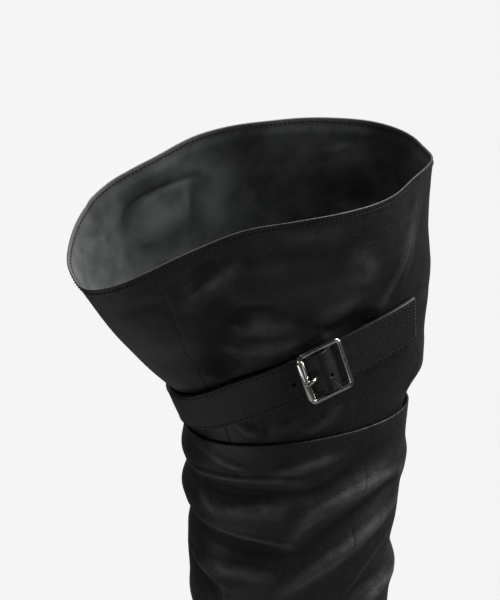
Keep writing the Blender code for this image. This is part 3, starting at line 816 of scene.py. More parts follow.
def crease_offset(creases: Sequence[Crease], turns: Array, heights: Array) -> Array:
    """How far creases push a surface outwards.

    Each crease is a quadratic curve on the unrolled surface. The push is its depth times a bell of the
    distance to the nearest spot of the curve, fading to nothing at the curve's two ends.

    Args:
        creases: The table of creases.
        turns: Turn angles in radians.
        heights: Heights in metres, of the same shape.

    Returns:
        The outward push in metres.
    """
    total = np.zeros(turns.shape)
    t = np.linspace(0, 1, CREASE_STEPS + 1)
    for crease in creases:
        rows = np.array(crease[:6]).reshape(3, 2)
        centre = math.radians(rows[1, 0])
        rows[:, 0] = np.radians(rows[:, 0] - rows[1, 0]) * CREASE_RADIUS
        control = 2 * rows[1] - (rows[0] + rows[2]) / 2
        curve = np.stack([(1 - t) ** 2, 2 * t * (1 - t), t**2], -1) @ np.stack([rows[0], control, rows[2]])
        spots = np.stack([turn_between(turns, centre) * CREASE_RADIUS, heights / MM], -1).reshape(-1, 2)
        reach = CREASE_REACH * crease.breadth
        inside = (spots > curve.min(0) - reach) & (spots < curve.max(0) + reach)
        near = np.flatnonzero(inside.all(axis=1))
        start, step = curve[:-1], np.diff(curve, axis=0)
        away = spots[near, None] - start
        share = np.clip((away * step).sum(-1) / (step * step).sum(-1), 0, 1)
        gap = np.linalg.norm(away - share[..., None] * step, axis=-1)
        nearest = gap.argmin(axis=1)
        picked = np.arange(len(near)), nearest
        along = (nearest + share[picked]) / CREASE_STEPS
        fade = np.sin(math.pi * np.clip(along, 0, 1)) ** CREASE_END_POWER
        total.reshape(-1)[near] += crease.depth * MM * hump(gap[picked], crease.breadth) * fade
    return total


class Fold(NamedTuple):
    """A slouch fold: its height, its climb towards the back, its turn, span, depth and breadth."""

    height: float
    climb: float
    turn: float
    span: float
    depth: float
    breadth: float


class FootSection(NamedTuple):
    """A section of the foot, as shares of the foot's length, instep height and ball width."""

    sole: float
    ridge: float
    rise: float
    half: float
    swing: float
    widest: float
    crown: float
    base: float


class ShaftSection(NamedTuple):
    """A section of the ankle or shaft in millimetres: its front and back spots and its half width."""

    front_x: float
    front_z: float
    back_x: float
    back_z: float
    half: float


class CuffRing(NamedTuple):
    """A ring of the cuff in millimetres above the seam."""

    rise: float
    lean: float
    half_length: float
    half_width: float
    drop: float
    lift: float
    sides: float


class Dent(NamedTuple):
    """A soft dent or swell of the cuff: a turn, its span, a height above the seam, its breadth and depth."""

    turn: float
    span: float
    height: float
    breadth: float
    depth: float


class RimLift(NamedTuple):
    """A soft rise or droop of the rim: a turn, its span in degrees and its height in millimetres."""

    turn: float
    span: float
    lift: float


FOOT_SECTIONS = (
    FootSection(0.988, 0.987, 0.200, 0.118, -0.066, 0.46, 2.1, 2.6),
    FootSection(0.951, 0.946, 0.275, 0.222, -0.060, 0.43, 2.2, 3.6),
    FootSection(0.888, 0.876, 0.345, 0.325, -0.048, 0.41, 2.2, 4.6),
    FootSection(0.800, 0.786, 0.415, 0.430, -0.028, 0.40, 2.1, 5.0),
    FootSection(0.710, 0.705, 0.500, 0.488, -0.002, 0.40, 2.0, 5.0),
    FootSection(0.600, 0.630, 0.620, 0.462, 0.022, 0.42, 1.95, 4.8),
    FootSection(0.470, 0.565, 0.755, 0.412, 0.026, 0.44, 1.95, 4.6),
    FootSection(0.330, 0.513, 0.895, 0.398, 0.018, 0.46, 2.0, 4.4),
    FootSection(0.175, 0.478, 1.035, 0.414, 0.008, 0.47, 2.05, 4.0),
    FootSection(0.040, 0.460, 1.175, 0.430, 0.000, 0.48, 2.1, 3.3),
)
SHAFT_SECTIONS = (
    ShaftSection(114.0, 166, -4.0, 77, 38.5),
    ShaftSection(119.0, 189, -1.5, 108, 40.0),
    ShaftSection(123.5, 215, 1.0, 150, 42.0),
    ShaftSection(126.0, 245, 0.0, 200, 44.0),
    ShaftSection(126.5, 278, -3.0, 250, 45.8),
    ShaftSection(127.0, 309, -6.5, 297, 46.8),
    ShaftSection(127.0, 336, -9.0, 331, 47.0),
)
SLOUCH_FOLDS = (
    Fold(320, 0, -10, 80, 2.0, 9),
    Fold(307, 0, 10, 90, -2.8, 7),
    Fold(294, 0, -15, 55, 2.4, 9),
    Fold(297, 0, 52, 36, 2.4, 8),
    Fold(275, 0, -15, 60, -2.6, 8),
    Fold(268, 0, 48, 40, -2.4, 8),
    Fold(259, 0, -28, 42, -0.6, 7),
    Fold(251, 0, 36, 45, 2.4, 8),
    Fold(238, 0, 25, 50, -2.4, 8),
    Fold(308, 20, 100, 45, -1.2, 8),
    Fold(292, 18, 105, 52, 2.0, 8),
    Fold(270, 34, 105, 52, -2.0, 8),
    Fold(253, 38, 105, 58, 2.2, 9),
    Fold(213, 40, 118, 45, -0.9, 7),
    Fold(203, 30, 120, 45, 0.6, 7),
    Fold(297, 0, 165, 45, 2.5, 9),
    Fold(238, 0, 165, 50, -2.5, 12),
    Fold(219, 0, 160, 55, 2.6, 11),
    Fold(300, 10, -100, 70, -3.0, 10),
    Fold(281, 12, -100, 75, 3.0, 11),
    Fold(262, 14, -105, 70, -3.0, 10),
    Fold(241, 14, -110, 70, 3.0, 12),
    Fold(220, 10, -100, 75, -3.2, 11),
    Fold(206, 16, 60, 110, 3.2, 12),
    Fold(185, 8, 20, 130, -4.0, 12),
    Fold(164, -8, 0, 140, 4.4, 13),
    Fold(152, 4, 180, 75, -3.4, 12),
    Fold(126, 0, 180, 80, 3.0, 14),
)
SHAFT_CREASES = (
    Crease(-20, 310, 45, 318.5, 92, 310, 1.1, 1.9),
    Crease(-10, 313, 40, 322.5, 80, 317.5, -0.9, 2.0),
    Crease(-10, 306, 48, 308.5, 92, 303, -1.3, 4.0),
    Crease(52, 319, 76, 325, 96, 327, 1.6, 3.6),
    Crease(4, 336, 32, 328.5, 56, 321, 1.2, 3.2),
    Crease(4, 314, 13, 301, 32, 287, 1.3, 3.6),
    Crease(28, 290, 53, 299, 70, 294, 1.2, 6.0),
    Crease(-14, 285, 44, 278.5, 76, 268.5, 1.4, 1.9),
    Crease(-14, 278, 44, 270, 80, 261, -1.4, 4.0),
    Crease(96, 326, 112, 322, 140, 322, -1.2, 8.0),
    Crease(78, 299, 100, 312, 135, 313, -1.0, 6.0),
    Crease(66, 263, 101, 300, 162, 284, 1.6, 4.6),
    Crease(74, 257, 98, 280, 140, 292, -1.4, 4.5),
    Crease(58, 224, 99, 260.5, 150, 274, 1.8, 5.0),
    Crease(98, 218, 116, 241, 142, 257, 1.0, 1.8),
    Crease(118, 236, 128, 240.5, 142, 247, -0.7, 2.5),
    Crease(126, 226, 133, 234, 142, 243, 0.7, 1.6),
    Crease(98, 212, 116, 226.5, 150, 228, -1.5, 4.0),
    Crease(108, 206, 127, 217.5, 152, 218, 1.4, 4.0),
    Crease(-16, 256, 14, 247, 36, 224, 1.3, 2.0),
    Crease(-20, 250, 8, 240, 30, 218, -1.2, 4.0),
    Crease(10, 254, 40, 254.5, 68, 248, 1.0, 5.0),
    Crease(-50, 226, -28, 216, 0, 208, 2.0, 10.0),
)
CUFF_RINGS = (
    CuffRing(17, -4.5, 72.0, 46.0, 8.0, 14.0, 1.0),
    CuffRing(41.2, -6.0, 72.5, 46.5, 20.0, 15.0, 2.0),
    CuffRing(55, 0.5, 80.5, 48.5, 17.5, 17.0, 6.0),
    CuffRing(92, 16.0, 94.6, 52.5, 16.5, 8.0, 13.0),
    CuffRing(136, 29.5, 106.5, 56.5, 15.0, -0.5, 21.5),
)
STRAP_RING = 3
RIM_LIFT_START = 4
CUFF_DENTS = (
    Dent(12, 40, 44, 26, 1.8),
    Dent(38, 34, 58, 30, -4.0),
    Dent(92, 62, 84, 34, -5.5),
    Dent(27, 30, 140, 90, 6.0),
    Dent(68, 32, 150, 100, -8.0),
    Dent(107, 34, 150, 100, 8.0),
    Dent(146, 26, 150, 90, -2.5),
    Dent(-50, 34, 150, 90, 4.0),
    Dent(-90, 20, 150, 70, 4.0),
    Dent(-114, 34, 150, 90, -4.5),
    Dent(-158, 30, 150, 90, 5.0),
)
RIM_LIFTS = (
    RimLift(14, 34, -3.0),
    RimLift(50, 18, 1.0),
    RimLift(122, 34, -2.6),
    RimLift(-72, 34, -2.0),
    RimLift(-125, 40, 0.9),
    RimLift(165, 40, 1.4),
)
CUFF_CREASES = (
    Crease(72, 468, 60, 457, 47, 441, 3.1, 5.0),
    Crease(66, 472, 58, 463, 51, 453, -2.8, 4.0),
    Crease(60, 455, 54, 427, 40, 394, -3.9, 6.0),
    Crease(34, 388, 41, 396, 50, 402, -4.2, 7.0),
    Crease(60, 428, 67, 421, 79, 417, 2.8, 5.0),
    Crease(57, 427, 66, 434, 79, 429, -2.5, 4.0),
    Crease(47, 412, 60, 407, 76, 406, 2.5, 4.5),
    Crease(85, 415, 94, 426, 103, 441, 2.6, 6.0),
    Crease(103, 470, 104, 453, 107, 440, 2.5, 6.0),
    Crease(86, 406, 96, 410, 108, 421, -3.6, 5.5),
    Crease(107, 409, 119, 438, 144, 479, 2.5, 3.0),
    Crease(120, 420, 133, 452, 152, 480, 1.4, 3.0),
    Crease(24, 438, 36, 445, 46, 452, -1.8, 5.0),
    Crease(84, 484, 92, 484, 102, 477, 1.7, 5.0),
    Crease(74, 466, 80, 464, 88, 470, 1.7, 6.0),
    Crease(90, 361, 84, 352, 74, 348, 2.0, 4.0),
    Crease(36, 358, 46, 350, 56, 350, 1.7, 4.0),
    Crease(58, 353, 66, 353, 74, 357, 1.4, 4.0),
    Crease(-61, 480, -55, 453, -43, 415, 1.5, 5.0),
    Crease(-52, 441, -62, 461.5, -85, 468, 1.5, 2.4),
    Crease(-58, 434, -66, 447, -79, 451, -2.2, 9.0),
    Crease(-52, 454, -60, 471, -82, 476, -0.9, 4.5),
    Crease(-84, 470, -79, 450, -73, 426, 1.8, 2.6),
    Crease(-90, 470, -86, 450, -80, 428, -1.2, 5.0),
    Crease(-127, 472, -132, 476, -137, 477, -0.8, 2.0),
    Crease(-124, 447, -135, 469, -152, 445, -1.3, 8.0),
    Crease(-128, 441, -137, 444, -147, 443, 2.0, 7.0),
    Crease(-32, 460, -36, 456, -41, 450, 0.8, 4.0),
    Crease(160, 470, 164, 448, 168, 424, -1.2, 7.0),
    Crease(132, 480, 156, 488, 182, 490, 1.5, 12.0),
    Crease(140, 420, 153, 398, 165, 372, -2.0, 13.0),
    Crease(140, 362, 153, 357, 168, 352, 2.2, 8.0),
)


@dataclass
class Last:
    """The foot's main sizes and the line of its underside."""

    length: float = 246 * MM
    ball_width: float = 86 * MM
    instep_height: float = 125 * MM
    heel_height: float = 50 * MM
    heel_seat_rise: float = 3 * MM
    toe_spring: float = 9 * MM
    toe_tip_rise: float = 6 * MM
    ball_place: float = 0.71
    heel_seat_place: float = 0.19
    sole_thickness: float = 5.8 * MM
    tread_wear: float = 0.8 * MM
    sole_gap: float = 0.4 * MM

    def sole_line(self, x: Array) -> Array:
        """The upper's underside: a heel seat, the shank's smooth slope, the ball, and a squared toe spring.

        Args:
            x: Lengths from the back of the heel.

        Returns:
            The height at each.
        """
        ball, seat = self.ball_place * self.length, self.heel_seat_place * self.length
        ball_height = self.sole_thickness - self.tread_wear + self.sole_gap
        shank = smooth_step((ball - x) / (ball - seat))
        spring = np.clip((x - ball) / (self.length - ball), 0, 2) ** 2
        seat_rise = self.heel_seat_rise * np.clip(1 - x / seat, 0, 2)
        return ball_height + (self.heel_height - ball_height) * shank + self.toe_spring * spring + seat_rise

    def underside(self, x: Array) -> Array:
        """The outsole's tread: level under the ball, and following the foot elsewhere."""
        return np.maximum(self.sole_line(x) - self.sole_gap - self.sole_thickness, 0)


@dataclass
class Upper:
    """The foot and slouched shaft: one soft wall with its lining, open at the seam."""

    last: Last
    stand: Array
    seam_height: float = 335 * MM
    axis: float = 59 * MM
    squareness: float = 2.15
    side_lift: float = 8 * MM
    side_lift_start: float = 0.6
    wall: float = 2.0 * MM
    lip_wall: float = 1.1 * MM
    lip_taper: float = 12 * MM
    edge_round: float = 0.45 * MM
    edge_rings: int = 7
    rings_per_foot_row: int = 7
    rings_per_shaft_row: int = 24
    lining_step: int = 3
    sides: int = 216
    painted_light_crease: float = 1.2 * MM
    painted_light_fold: float = 5.0 * MM
    seam_turns: tuple[tuple[float, float], ...] = (
        (60, 97), (150, 98), (250, 100), (262, 103), (296, 105.5), (308, 110), (345, 110.5),
    )
    inner_seam_turn: float = -100.0

    def rows(self) -> tuple[Array, Array]:
        """The table of sections: the foot's from its shares, the shaft's with its outer side lifted.

        Returns:
            The rows in metres, toe to seam, and the mirrored row that rounds the toe's tip.
        """
        last = self.last
        foot = np.array(FOOT_SECTIONS)
        back_x = foot[:, 0] * last.length
        columns = [
            foot[:, 1] * last.length, foot[:, 2] * last.instep_height, back_x, last.sole_line(back_x),
            foot[:, 3] * last.ball_width, foot[:, 4] * last.ball_width, foot[:, 5], foot[:, 6], foot[:, 7],
            np.zeros(len(foot)),
        ]
        shaft = np.array(SHAFT_SECTIONS)
        share = shaft[:, 3] * MM / self.seam_height
        lift = self.side_lift * smooth_step((share - self.side_lift_start) / (1 - self.side_lift_start))
        plain = np.ones(len(shaft))
        above = [*(shaft[:, :5].T * MM), 0 * plain, 0.5 * plain, *[self.squareness * plain] * 2, lift]
        rows = np.vstack([np.stack(columns, -1), np.stack(above, -1)])
        tip, mirrored = rows[0].copy(), rows[0].copy()
        tip_z = last.sole_line(last.length) + last.toe_tip_rise
        tip[:5] = (last.length, tip_z, last.length, tip_z, 0)
        mirrored[[1, 3, 4]] = rows[0][3], rows[0][1], -rows[0][4]
        return np.vstack([tip, rows]), mirrored

    def folds(self, turns: Array, heights: Array) -> Array:
        """The slouch folds' outward push: each a bell of height times a window of the turn.

        Args:
            turns: Turn angles in radians.
            heights: Heights in metres, of the same shape.

        Returns:
            The push in metres.
        """
        total = np.zeros(turns.shape)
        for fold in SLOUCH_FOLDS:
            away = turn_between(turns, math.radians(fold.turn)) / math.radians(fold.span)
            middle = fold.height - fold.climb * np.cos(turns)
            total += fold.depth * MM * hump(heights / MM - middle, fold.breadth) * window(away)
        return total

    def point(self, places: Array, turns: Array, creased: bool = True) -> Array:
        """Points of the outer face: rounded-square sections between the front and back lines, pushed by folds.

        Args:
            places: Rows of the table, of the shape of turns.
            turns: Turn angles in radians.
            creased: Whether the finer creases are added to the folds.

        Returns:
            Points in the boot's own sizes, with x, y and z along a last axis.
        """
        rows, mirrored = self.rows()
        table = np.moveaxis(spline(rows, places, mirrored), -1, 0)
        front_x, front_z, back_x, back_z, half, swing, widest, crown, base, lift = table
        on_sole = (places >= 1) & (places <= len(FOOT_SECTIONS))
        back_z = np.where(on_sole, self.last.sole_line(back_x), back_z)
        cosine, sine = np.cos(turns), np.sin(turns)
        power = 2 / np.where(cosine >= 0, crown, base)
        along = widest + np.where(cosine >= 0, 1 - widest, widest) * signed_power(cosine, power)
        x = back_x + (front_x - back_x) * along
        y = swing + half * signed_power(sine, power)
        z = back_z + (front_z - back_z) * along + lift * sine
        push = self.folds(turns, z)
        if creased:
            push = push + crease_offset(SHAFT_CREASES, turns, z)
        out = np.stack([x - self.axis, y], -1)
        out = out / np.maximum(np.linalg.norm(out, axis=-1, keepdims=True), MM)
        return np.stack([x + push * out[..., 0], y + push * out[..., 1], z], -1)

    def even_turns(self, places: Array) -> Array:
        """Turn angles that space each ring's points evenly along its length.

        Args:
            places: The rings' rows of the table.

        Returns:
            The angles, (places, sides + 1).
        """
        dense = np.linspace(-math.pi, math.pi, 2 * self.sides + 1)
        dense = np.broadcast_to(dense, (len(places), len(dense)))
        run = running_length(self.point(np.broadcast_to(places[:, None], dense.shape), dense, creased=False))
        wanted = run[:, -1:] * np.linspace(0, 1, self.sides + 1)
        return read_along(run, dense[..., None], wanted)[..., 0]

    def build(self, leather: bpy.types.Material, lining: bpy.types.Material) -> bpy.types.Object:
        """Makes the wall: its outer face from toe to seam, a rounded cut edge, and its lining back to the toe.

        Args:
            leather: The outer finish.
            lining: The inner finish.

        Returns:
            The new object.
        """
        foot, last_row = len(FOOT_SECTIONS), len(FOOT_SECTIONS) + len(SHAFT_SECTIONS)
        on_foot = np.linspace(0, foot, foot * self.rings_per_foot_row + 1)[:-1]
        on_shaft = np.linspace(foot, last_row, len(SHAFT_SECTIONS) * self.rings_per_shaft_row + 1)
        places = np.concatenate([on_foot, on_shaft])
        turns = self.even_turns(places)[:, :-1]
        outer = self.point(np.broadcast_to(places[:, None], turns.shape), turns)
        normals = ring_normals(outer)
        normals[0] = (1, 0, 0)
        thin = smooth_step((outer[..., 2:] - self.seam_height) / self.lip_taper + 1)
        inner = outer - (self.wall - (self.wall - self.lip_wall) * thin) * normals
        edge = rim_rings(outer[-2:], inner[-1], self.edge_round, self.edge_rings)
        points = np.concatenate([outer, edge, inner[:: -self.lining_step], inner[:1]])
        rings = len(points)
        bands = np.where(np.arange(rings - 1) < len(outer) + len(edge) - 2, 0, 1)
        over_edge = np.repeat(turns[-1:], len(edge), 0)
        around = np.concatenate([turns, over_edge, turns[:: -self.lining_step], turns[:1]])
        skin = RingSkin(points + self.stand, bands, self.layers(points, around))
        piece = skin.to_piece("upper_wall", [leather, lining])
        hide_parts("upper")
        return piece

    def layers(self, points: Array, turns: Array) -> dict[str, Array]:
        """UV maps: the distance and side of the two upright seams, and the rise of folds and creases that
        places painted highlight and painted shade.

        Args:
            points: The wall's points.
            turns: Their turn angles.

        Returns:
            The maps by name, with the first column repeated at the end.
        """
        heights = points[..., 2]
        # The folds' and creases' rise, where the finish paints highlight on crests and shade in hollows.
        rise = crease_offset(SHAFT_CREASES, turns, heights) / self.painted_light_crease
        rise = rise + self.folds(turns, heights) / self.painted_light_fold
        table = np.array(self.seam_turns)
        outer_turn = np.radians(np.interp(heights / MM, table[:, 0], table[:, 1]))
        made = {"wear": closed_up(np.stack([rise, 0 * rise], -1))}
        for name, centre in (("outer_seam", outer_turn), ("inner_seam", math.radians(self.inner_seam_turn))):
            away = turn_between(turns, centre)
            made[name] = closed_up(np.stack([CREASE_RADIUS * MM * np.sin(away), np.cos(away)], -1))
        return made


def rim_rings(last_two: Array, inner: Array, height: float, count: int) -> Array:
    """Rings over a wall's edge: half an ellipse from its outer to its inner face.

    Args:
        last_two: The outer face's last two rings.
        inner: The inner face's last ring.
        height: How far the edge is rounded beyond the faces.
        count: How many rings.

    Returns:
        The rings between the two faces, (count, sides, 3).
    """
    onward = unit(last_two[1] - last_two[0])
    middle, half = (last_two[1] + inner) / 2, (last_two[1] - inner) / 2
    turns = np.linspace(0, math.pi, count + 2)[1:-1, None, None]
    return middle + half * np.cos(turns) + height * onward * np.sin(turns)


@dataclass
class Cuff:
    """The flared cuff: black outside, lined inside, with a stitched rim and two gusset seams."""

    stand: Array
    seam_height: float = 335 * MM
    axis: float = 59 * MM
    shaft_length: float = 136 * MM
    shaft_width: float = 94 * MM
    squareness: float = 2.15
    side_lift: float = 8 * MM
    tuck_depth: float = 13 * MM
    tuck_taper: float = 1.2 * MM
    tuck_inset: float = 2.1 * MM
    wall: float = 2.2 * MM
    rim_wall: float = 1.1 * MM
    rim_taper: float = 9 * MM
    rim_round: float = 0.45 * MM
    rim_step: float = 1.3 * MM
    rim_step_turn: float = -45.0
    rim_step_slope: float = 40.0
    rim_step_fade: tuple[float, float] = (0.9, 0.8)
    rim_step_row: int = 5
    strap_shelter: float = 0.9
    sides: int = 264
    wall_rings: int = 112
    upper_rings: int = 26
    upper_share: float = 0.4
    rim_rings: int = 9
    foot_rings: int = 3
    leather_over_rim: int = 5
    layer_radius: float = 80 * MM
    solid_sides: int = 36
    solid_rings_per_row: int = 3
    stitch_place: float = 2.6 * MM
    lining_stitch_place: float = 2.0 * MM
    stitch_pitch: float = 2.7 * MM
    painted_light_crease: float = 2.6 * MM
    gusset_turns: tuple[tuple[float, float], ...] = (
        (0, 36), (15, 32.2), (30, 29.6), (45, 28.8), (56, 30.8), (70, 35), (80, 38.6), (90, 41.5),
        (104, 43.2), (117, 44.2), (136, 45.2),
    )

    def rows(self) -> Array:
        """The rings: two inside the shaft's edge, then those of the table.

        Returns:
            Their rows in metres.
        """
        half_length = self.shaft_length / 2 - self.tuck_inset
        half_width = self.shaft_width / 2 - self.tuck_inset
        taper = self.tuck_taper
        tucked = (-self.tuck_depth, 0, half_length - taper, half_width - taper, 0, self.side_lift, 0)
        seam = (0, 0, half_length, half_width, 0, self.side_lift, 0)
        return np.vstack([tucked, seam, np.array(CUFF_RINGS) * MM])

    def point(self, places: Array, turns: Array, creased: bool = True) -> Array:
        """Points of the outer face: rounded-square rings, tilted and lifted, with dents and creases.

        Args:
            places: Rows of the table, of the shape of turns.
            turns: Turn angles in radians.
            creased: Whether the finer creases and the step in the rim are added to the dents.

        Returns:
            Points in the boot's own sizes, with x, y and z along a last axis.
        """
        table = np.moveaxis(spline(self.rows(), places), -1, 0)
        rise, lean, half_length, half_width, drop, lift, sides = table
        power = 2 / self.squareness
        cosine, sine = np.cos(turns), np.sin(turns)
        height = rise - drop * cosine + lift * sine + sides * sine**2
        near_rim = smooth_step((places - RIM_LIFT_START) / (len(CUFF_RINGS) + 1 - RIM_LIFT_START))
        for rim in RIM_LIFTS:
            away = turn_between(turns, math.radians(rim.turn)) / math.radians(rim.span)
            height = height + rim.lift * MM * near_rim * window(away)
        push = np.zeros(turns.shape)
        for dent in CUFF_DENTS:
            away = turn_between(turns, math.radians(dent.turn)) / math.radians(dent.span)
            push += dent.depth * MM * window(away) * window((height / MM - dent.height) / dent.breadth)
        if creased:
            under_strap = window((places - STRAP_RING) / self.strap_shelter)
            push += crease_offset(CUFF_CREASES, turns, self.seam_height + height) * (1 - under_strap)
            step_turn, (reach, fade) = math.radians(self.rim_step_turn), self.rim_step_fade
            step = smooth_step(0.5 - self.rim_step_slope * turn_between(turns, step_turn))
            beyond = smooth_step((-step_turn - np.abs(turns) + reach) / fade) * (turns < 0)
            height = height + self.rim_step * step * beyond * smooth_step(places - self.rim_step_row)
        x = self.axis + lean + half_length * signed_power(cosine, power) + push * cosine
        y = half_width * signed_power(sine, power) + push * sine
        return np.stack([x, y, self.seam_height + height], -1)

    def solid_middle(self) -> Array:
        """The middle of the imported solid's box, from the same rings at the solid's own fineness.

        Returns:
            The middle in the boot's own sizes.
        """
        last = len(self.rows()) - 1
        places = np.linspace(0, last, last * self.solid_rings_per_row + 1)
        turns = np.linspace(-math.pi, math.pi, self.solid_sides + 1)
        grid = self.point(*np.meshgrid(places, turns, indexing="ij"), creased=False).reshape(-1, 3)
        return (grid.min(0) + grid.max(0)) / 2

    def build(
        self, leather: bpy.types.Material, lining: bpy.types.Material, thread: bpy.types.Material
    ) -> None:
        """Makes the wall as one closed skin, up the outside, over the rim and down the lining, and stitches.

        Args:
            leather: The outer finish.
            lining: The inner finish.
            thread: The stitches' finish.
        """
        last = len(self.rows()) - 1
        turning = last - self.upper_share
        below = np.linspace(0, turning, self.wall_rings)[:-1]
        up = np.concatenate([below, np.linspace(turning, last, self.upper_rings)])
        turns = np.arange(self.sides) * 2 * math.pi / self.sides - math.pi
        outer = self.point(*np.meshgrid(up, turns, indexing="ij"))
        normals = ring_normals(outer)
        down = self.rim_distance(outer)
        wall = self.wall - (self.wall - self.rim_wall) * smooth_step(1 - down / self.rim_taper)
        inner = outer - wall[..., None] * normals
        rim = rim_rings(outer[-2:], inner[-1], self.rim_round, self.rim_rings)
        foot = rim_rings(inner[1::-1], outer[0], self.rim_round, self.foot_rings)
        points = np.concatenate([outer, rim, inner[::-1], foot])
        bands = np.ones(len(points), int)
        bands[: len(outer) + self.leather_over_rim] = 0
        bands[-len(foot) :] = 0
        at_foot = np.repeat(down[:1], len(foot), 0)
        down = np.concatenate([down, np.zeros((len(rim), self.sides)), -down[::-1], at_foot])
        skin = RingSkin(points + self.stand, bands, self.layers(points, turns, down), joined=True)
        piece = skin.to_piece("cuff_wall", [leather, lining])
        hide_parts("cuff")
        rows = (
            ("rim_stitches_outer", outer, normals, self.stitch_place),
            ("rim_stitches_lining", inner, -normals, self.lining_stitch_place),
        )
        for name, face, out, place in rows:
            rings = stitches(*self.rim_line(face, out, place), self.stitch_pitch)
            made = loft_piece(name, rings + self.stand, thread)

    def rim_distance(self, face: Array) -> Array:
        """The distance below the rim along each column of a face."""
        run = running_length(np.swapaxes(face, 0, 1)).T
        return run[-1] - run

    def rim_line(self, face: Array, out: Array, place: float) -> tuple[Array, Array]:
        """A line round a face, read along each of its columns.

        Args:
            face: The face's rings, from the foot to the rim.
            out: Its outward directions.
            place: The line's distance from the rim.

        Returns:
            The line, closed, and its outward directions.
        """
        run = running_length(np.swapaxes(face, 0, 1)[:, ::-1])
        both = np.concatenate([face, out], -1)
        wanted = np.full((face.shape[1], 1), place)
        line = read_along(run, np.swapaxes(both, 0, 1)[:, ::-1], wanted)[:, 0]
        line = np.vstack([line, line[:1]])
        return line[:, :3], unit(line[:, 3:])

    def layers(self, points: Array, turns: Array, down: Array) -> dict[str, Array]:
        """UV maps: round the rim and down from it, the distance and side of each seam, and the creases' rise
        that places painted highlight and painted shade.

        Args:
            points: The wall's points.
            turns: The turn angle of each column.
            down: The distance below the rim, negative inside.

        Returns:
            The maps by name, with the first column repeated at the end.
        """
        grid = np.broadcast_to(turns, down.shape)
        end = np.concatenate([turns, [math.pi]]) * self.layer_radius
        down_closed = closed_up(down)
        made = {"rim": np.stack([np.broadcast_to(end, down_closed.shape), down_closed], -1)}
        table = np.array(self.gusset_turns)
        gusset = np.radians(np.interp((points[..., 2] - self.seam_height) / MM, table[:, 0], table[:, 1]))
        outside = np.where(down >= 0, 1.0, -1.0)
        # The creases' rise for painted highlight and painted shade, its sign reversed on the lining inside.
        rise = crease_offset(CUFF_CREASES, grid, points[..., 2]) * outside / self.painted_light_crease
        made["wear"] = closed_up(np.stack([rise, 0 * rise], -1))
        for name, centre in (("outer_gusset", gusset), ("inner_gusset", -gusset)):
            away = turn_between(grid, centre)
            made[name] = closed_up(np.stack([self.layer_radius * np.sin(away), np.cos(away) * outside], -1))
        return made


STITCH_RINGS = 7
STITCH_SIDES = 6
STITCH_ARCH = 1.6
STITCH_END = 1.02


def stitches(path: Array, out: Array, pitch: float, radius: float = 0.3 * MM, fill: float = 0.72) -> Array:
    """Sewing stitches along a line: short rounded capsules that arch out of the surface.

    Along each, from minus to plus 1, the middle sinks and the girth narrows with the fourth power of the place.

    Args:
        path: The line, (points, 3).
        out: Its outward directions, (points, 3).
        pitch: The distance from stitch to stitch.
        radius: The thread's radius.
        fill: The share of the pitch that shows.

    Returns:
        The rings of each stitch, (stitches, rings, sides, 3).
    """
    run = running_length(path[None])
    count = max(int(run[0, -1] / pitch), 1)
    centres = (np.arange(count) + 0.5) * run[0, -1] / count
    share = np.linspace(-1, 1, STITCH_RINGS)
    spots = centres[:, None] + share * (0.5 * fill * pitch)
    both = np.concatenate([path, out], -1)[None]
    read = read_along(run, both, spots.reshape(1, -1))[0].reshape(count, len(share), 6)
    middle, normal = read[..., :3], unit(read[..., 3:])
    ahead = unit(np.gradient(middle, axis=1))
    side = unit(np.cross(normal, ahead))
    rise = np.cross(ahead, side)
    middle = middle + (radius * (1.0 - STITCH_ARCH * share**4))[None, :, None] * normal
    turns = np.arange(STITCH_SIDES) * 2 * math.pi / STITCH_SIDES
    girth = radius * np.sqrt(STITCH_END - share**4)[None, :, None, None]
    ring = np.cos(turns)[:, None] * side[:, :, None] + np.sin(turns)[:, None] * rise[:, :, None]
    return middle[:, :, None] + girth * ring


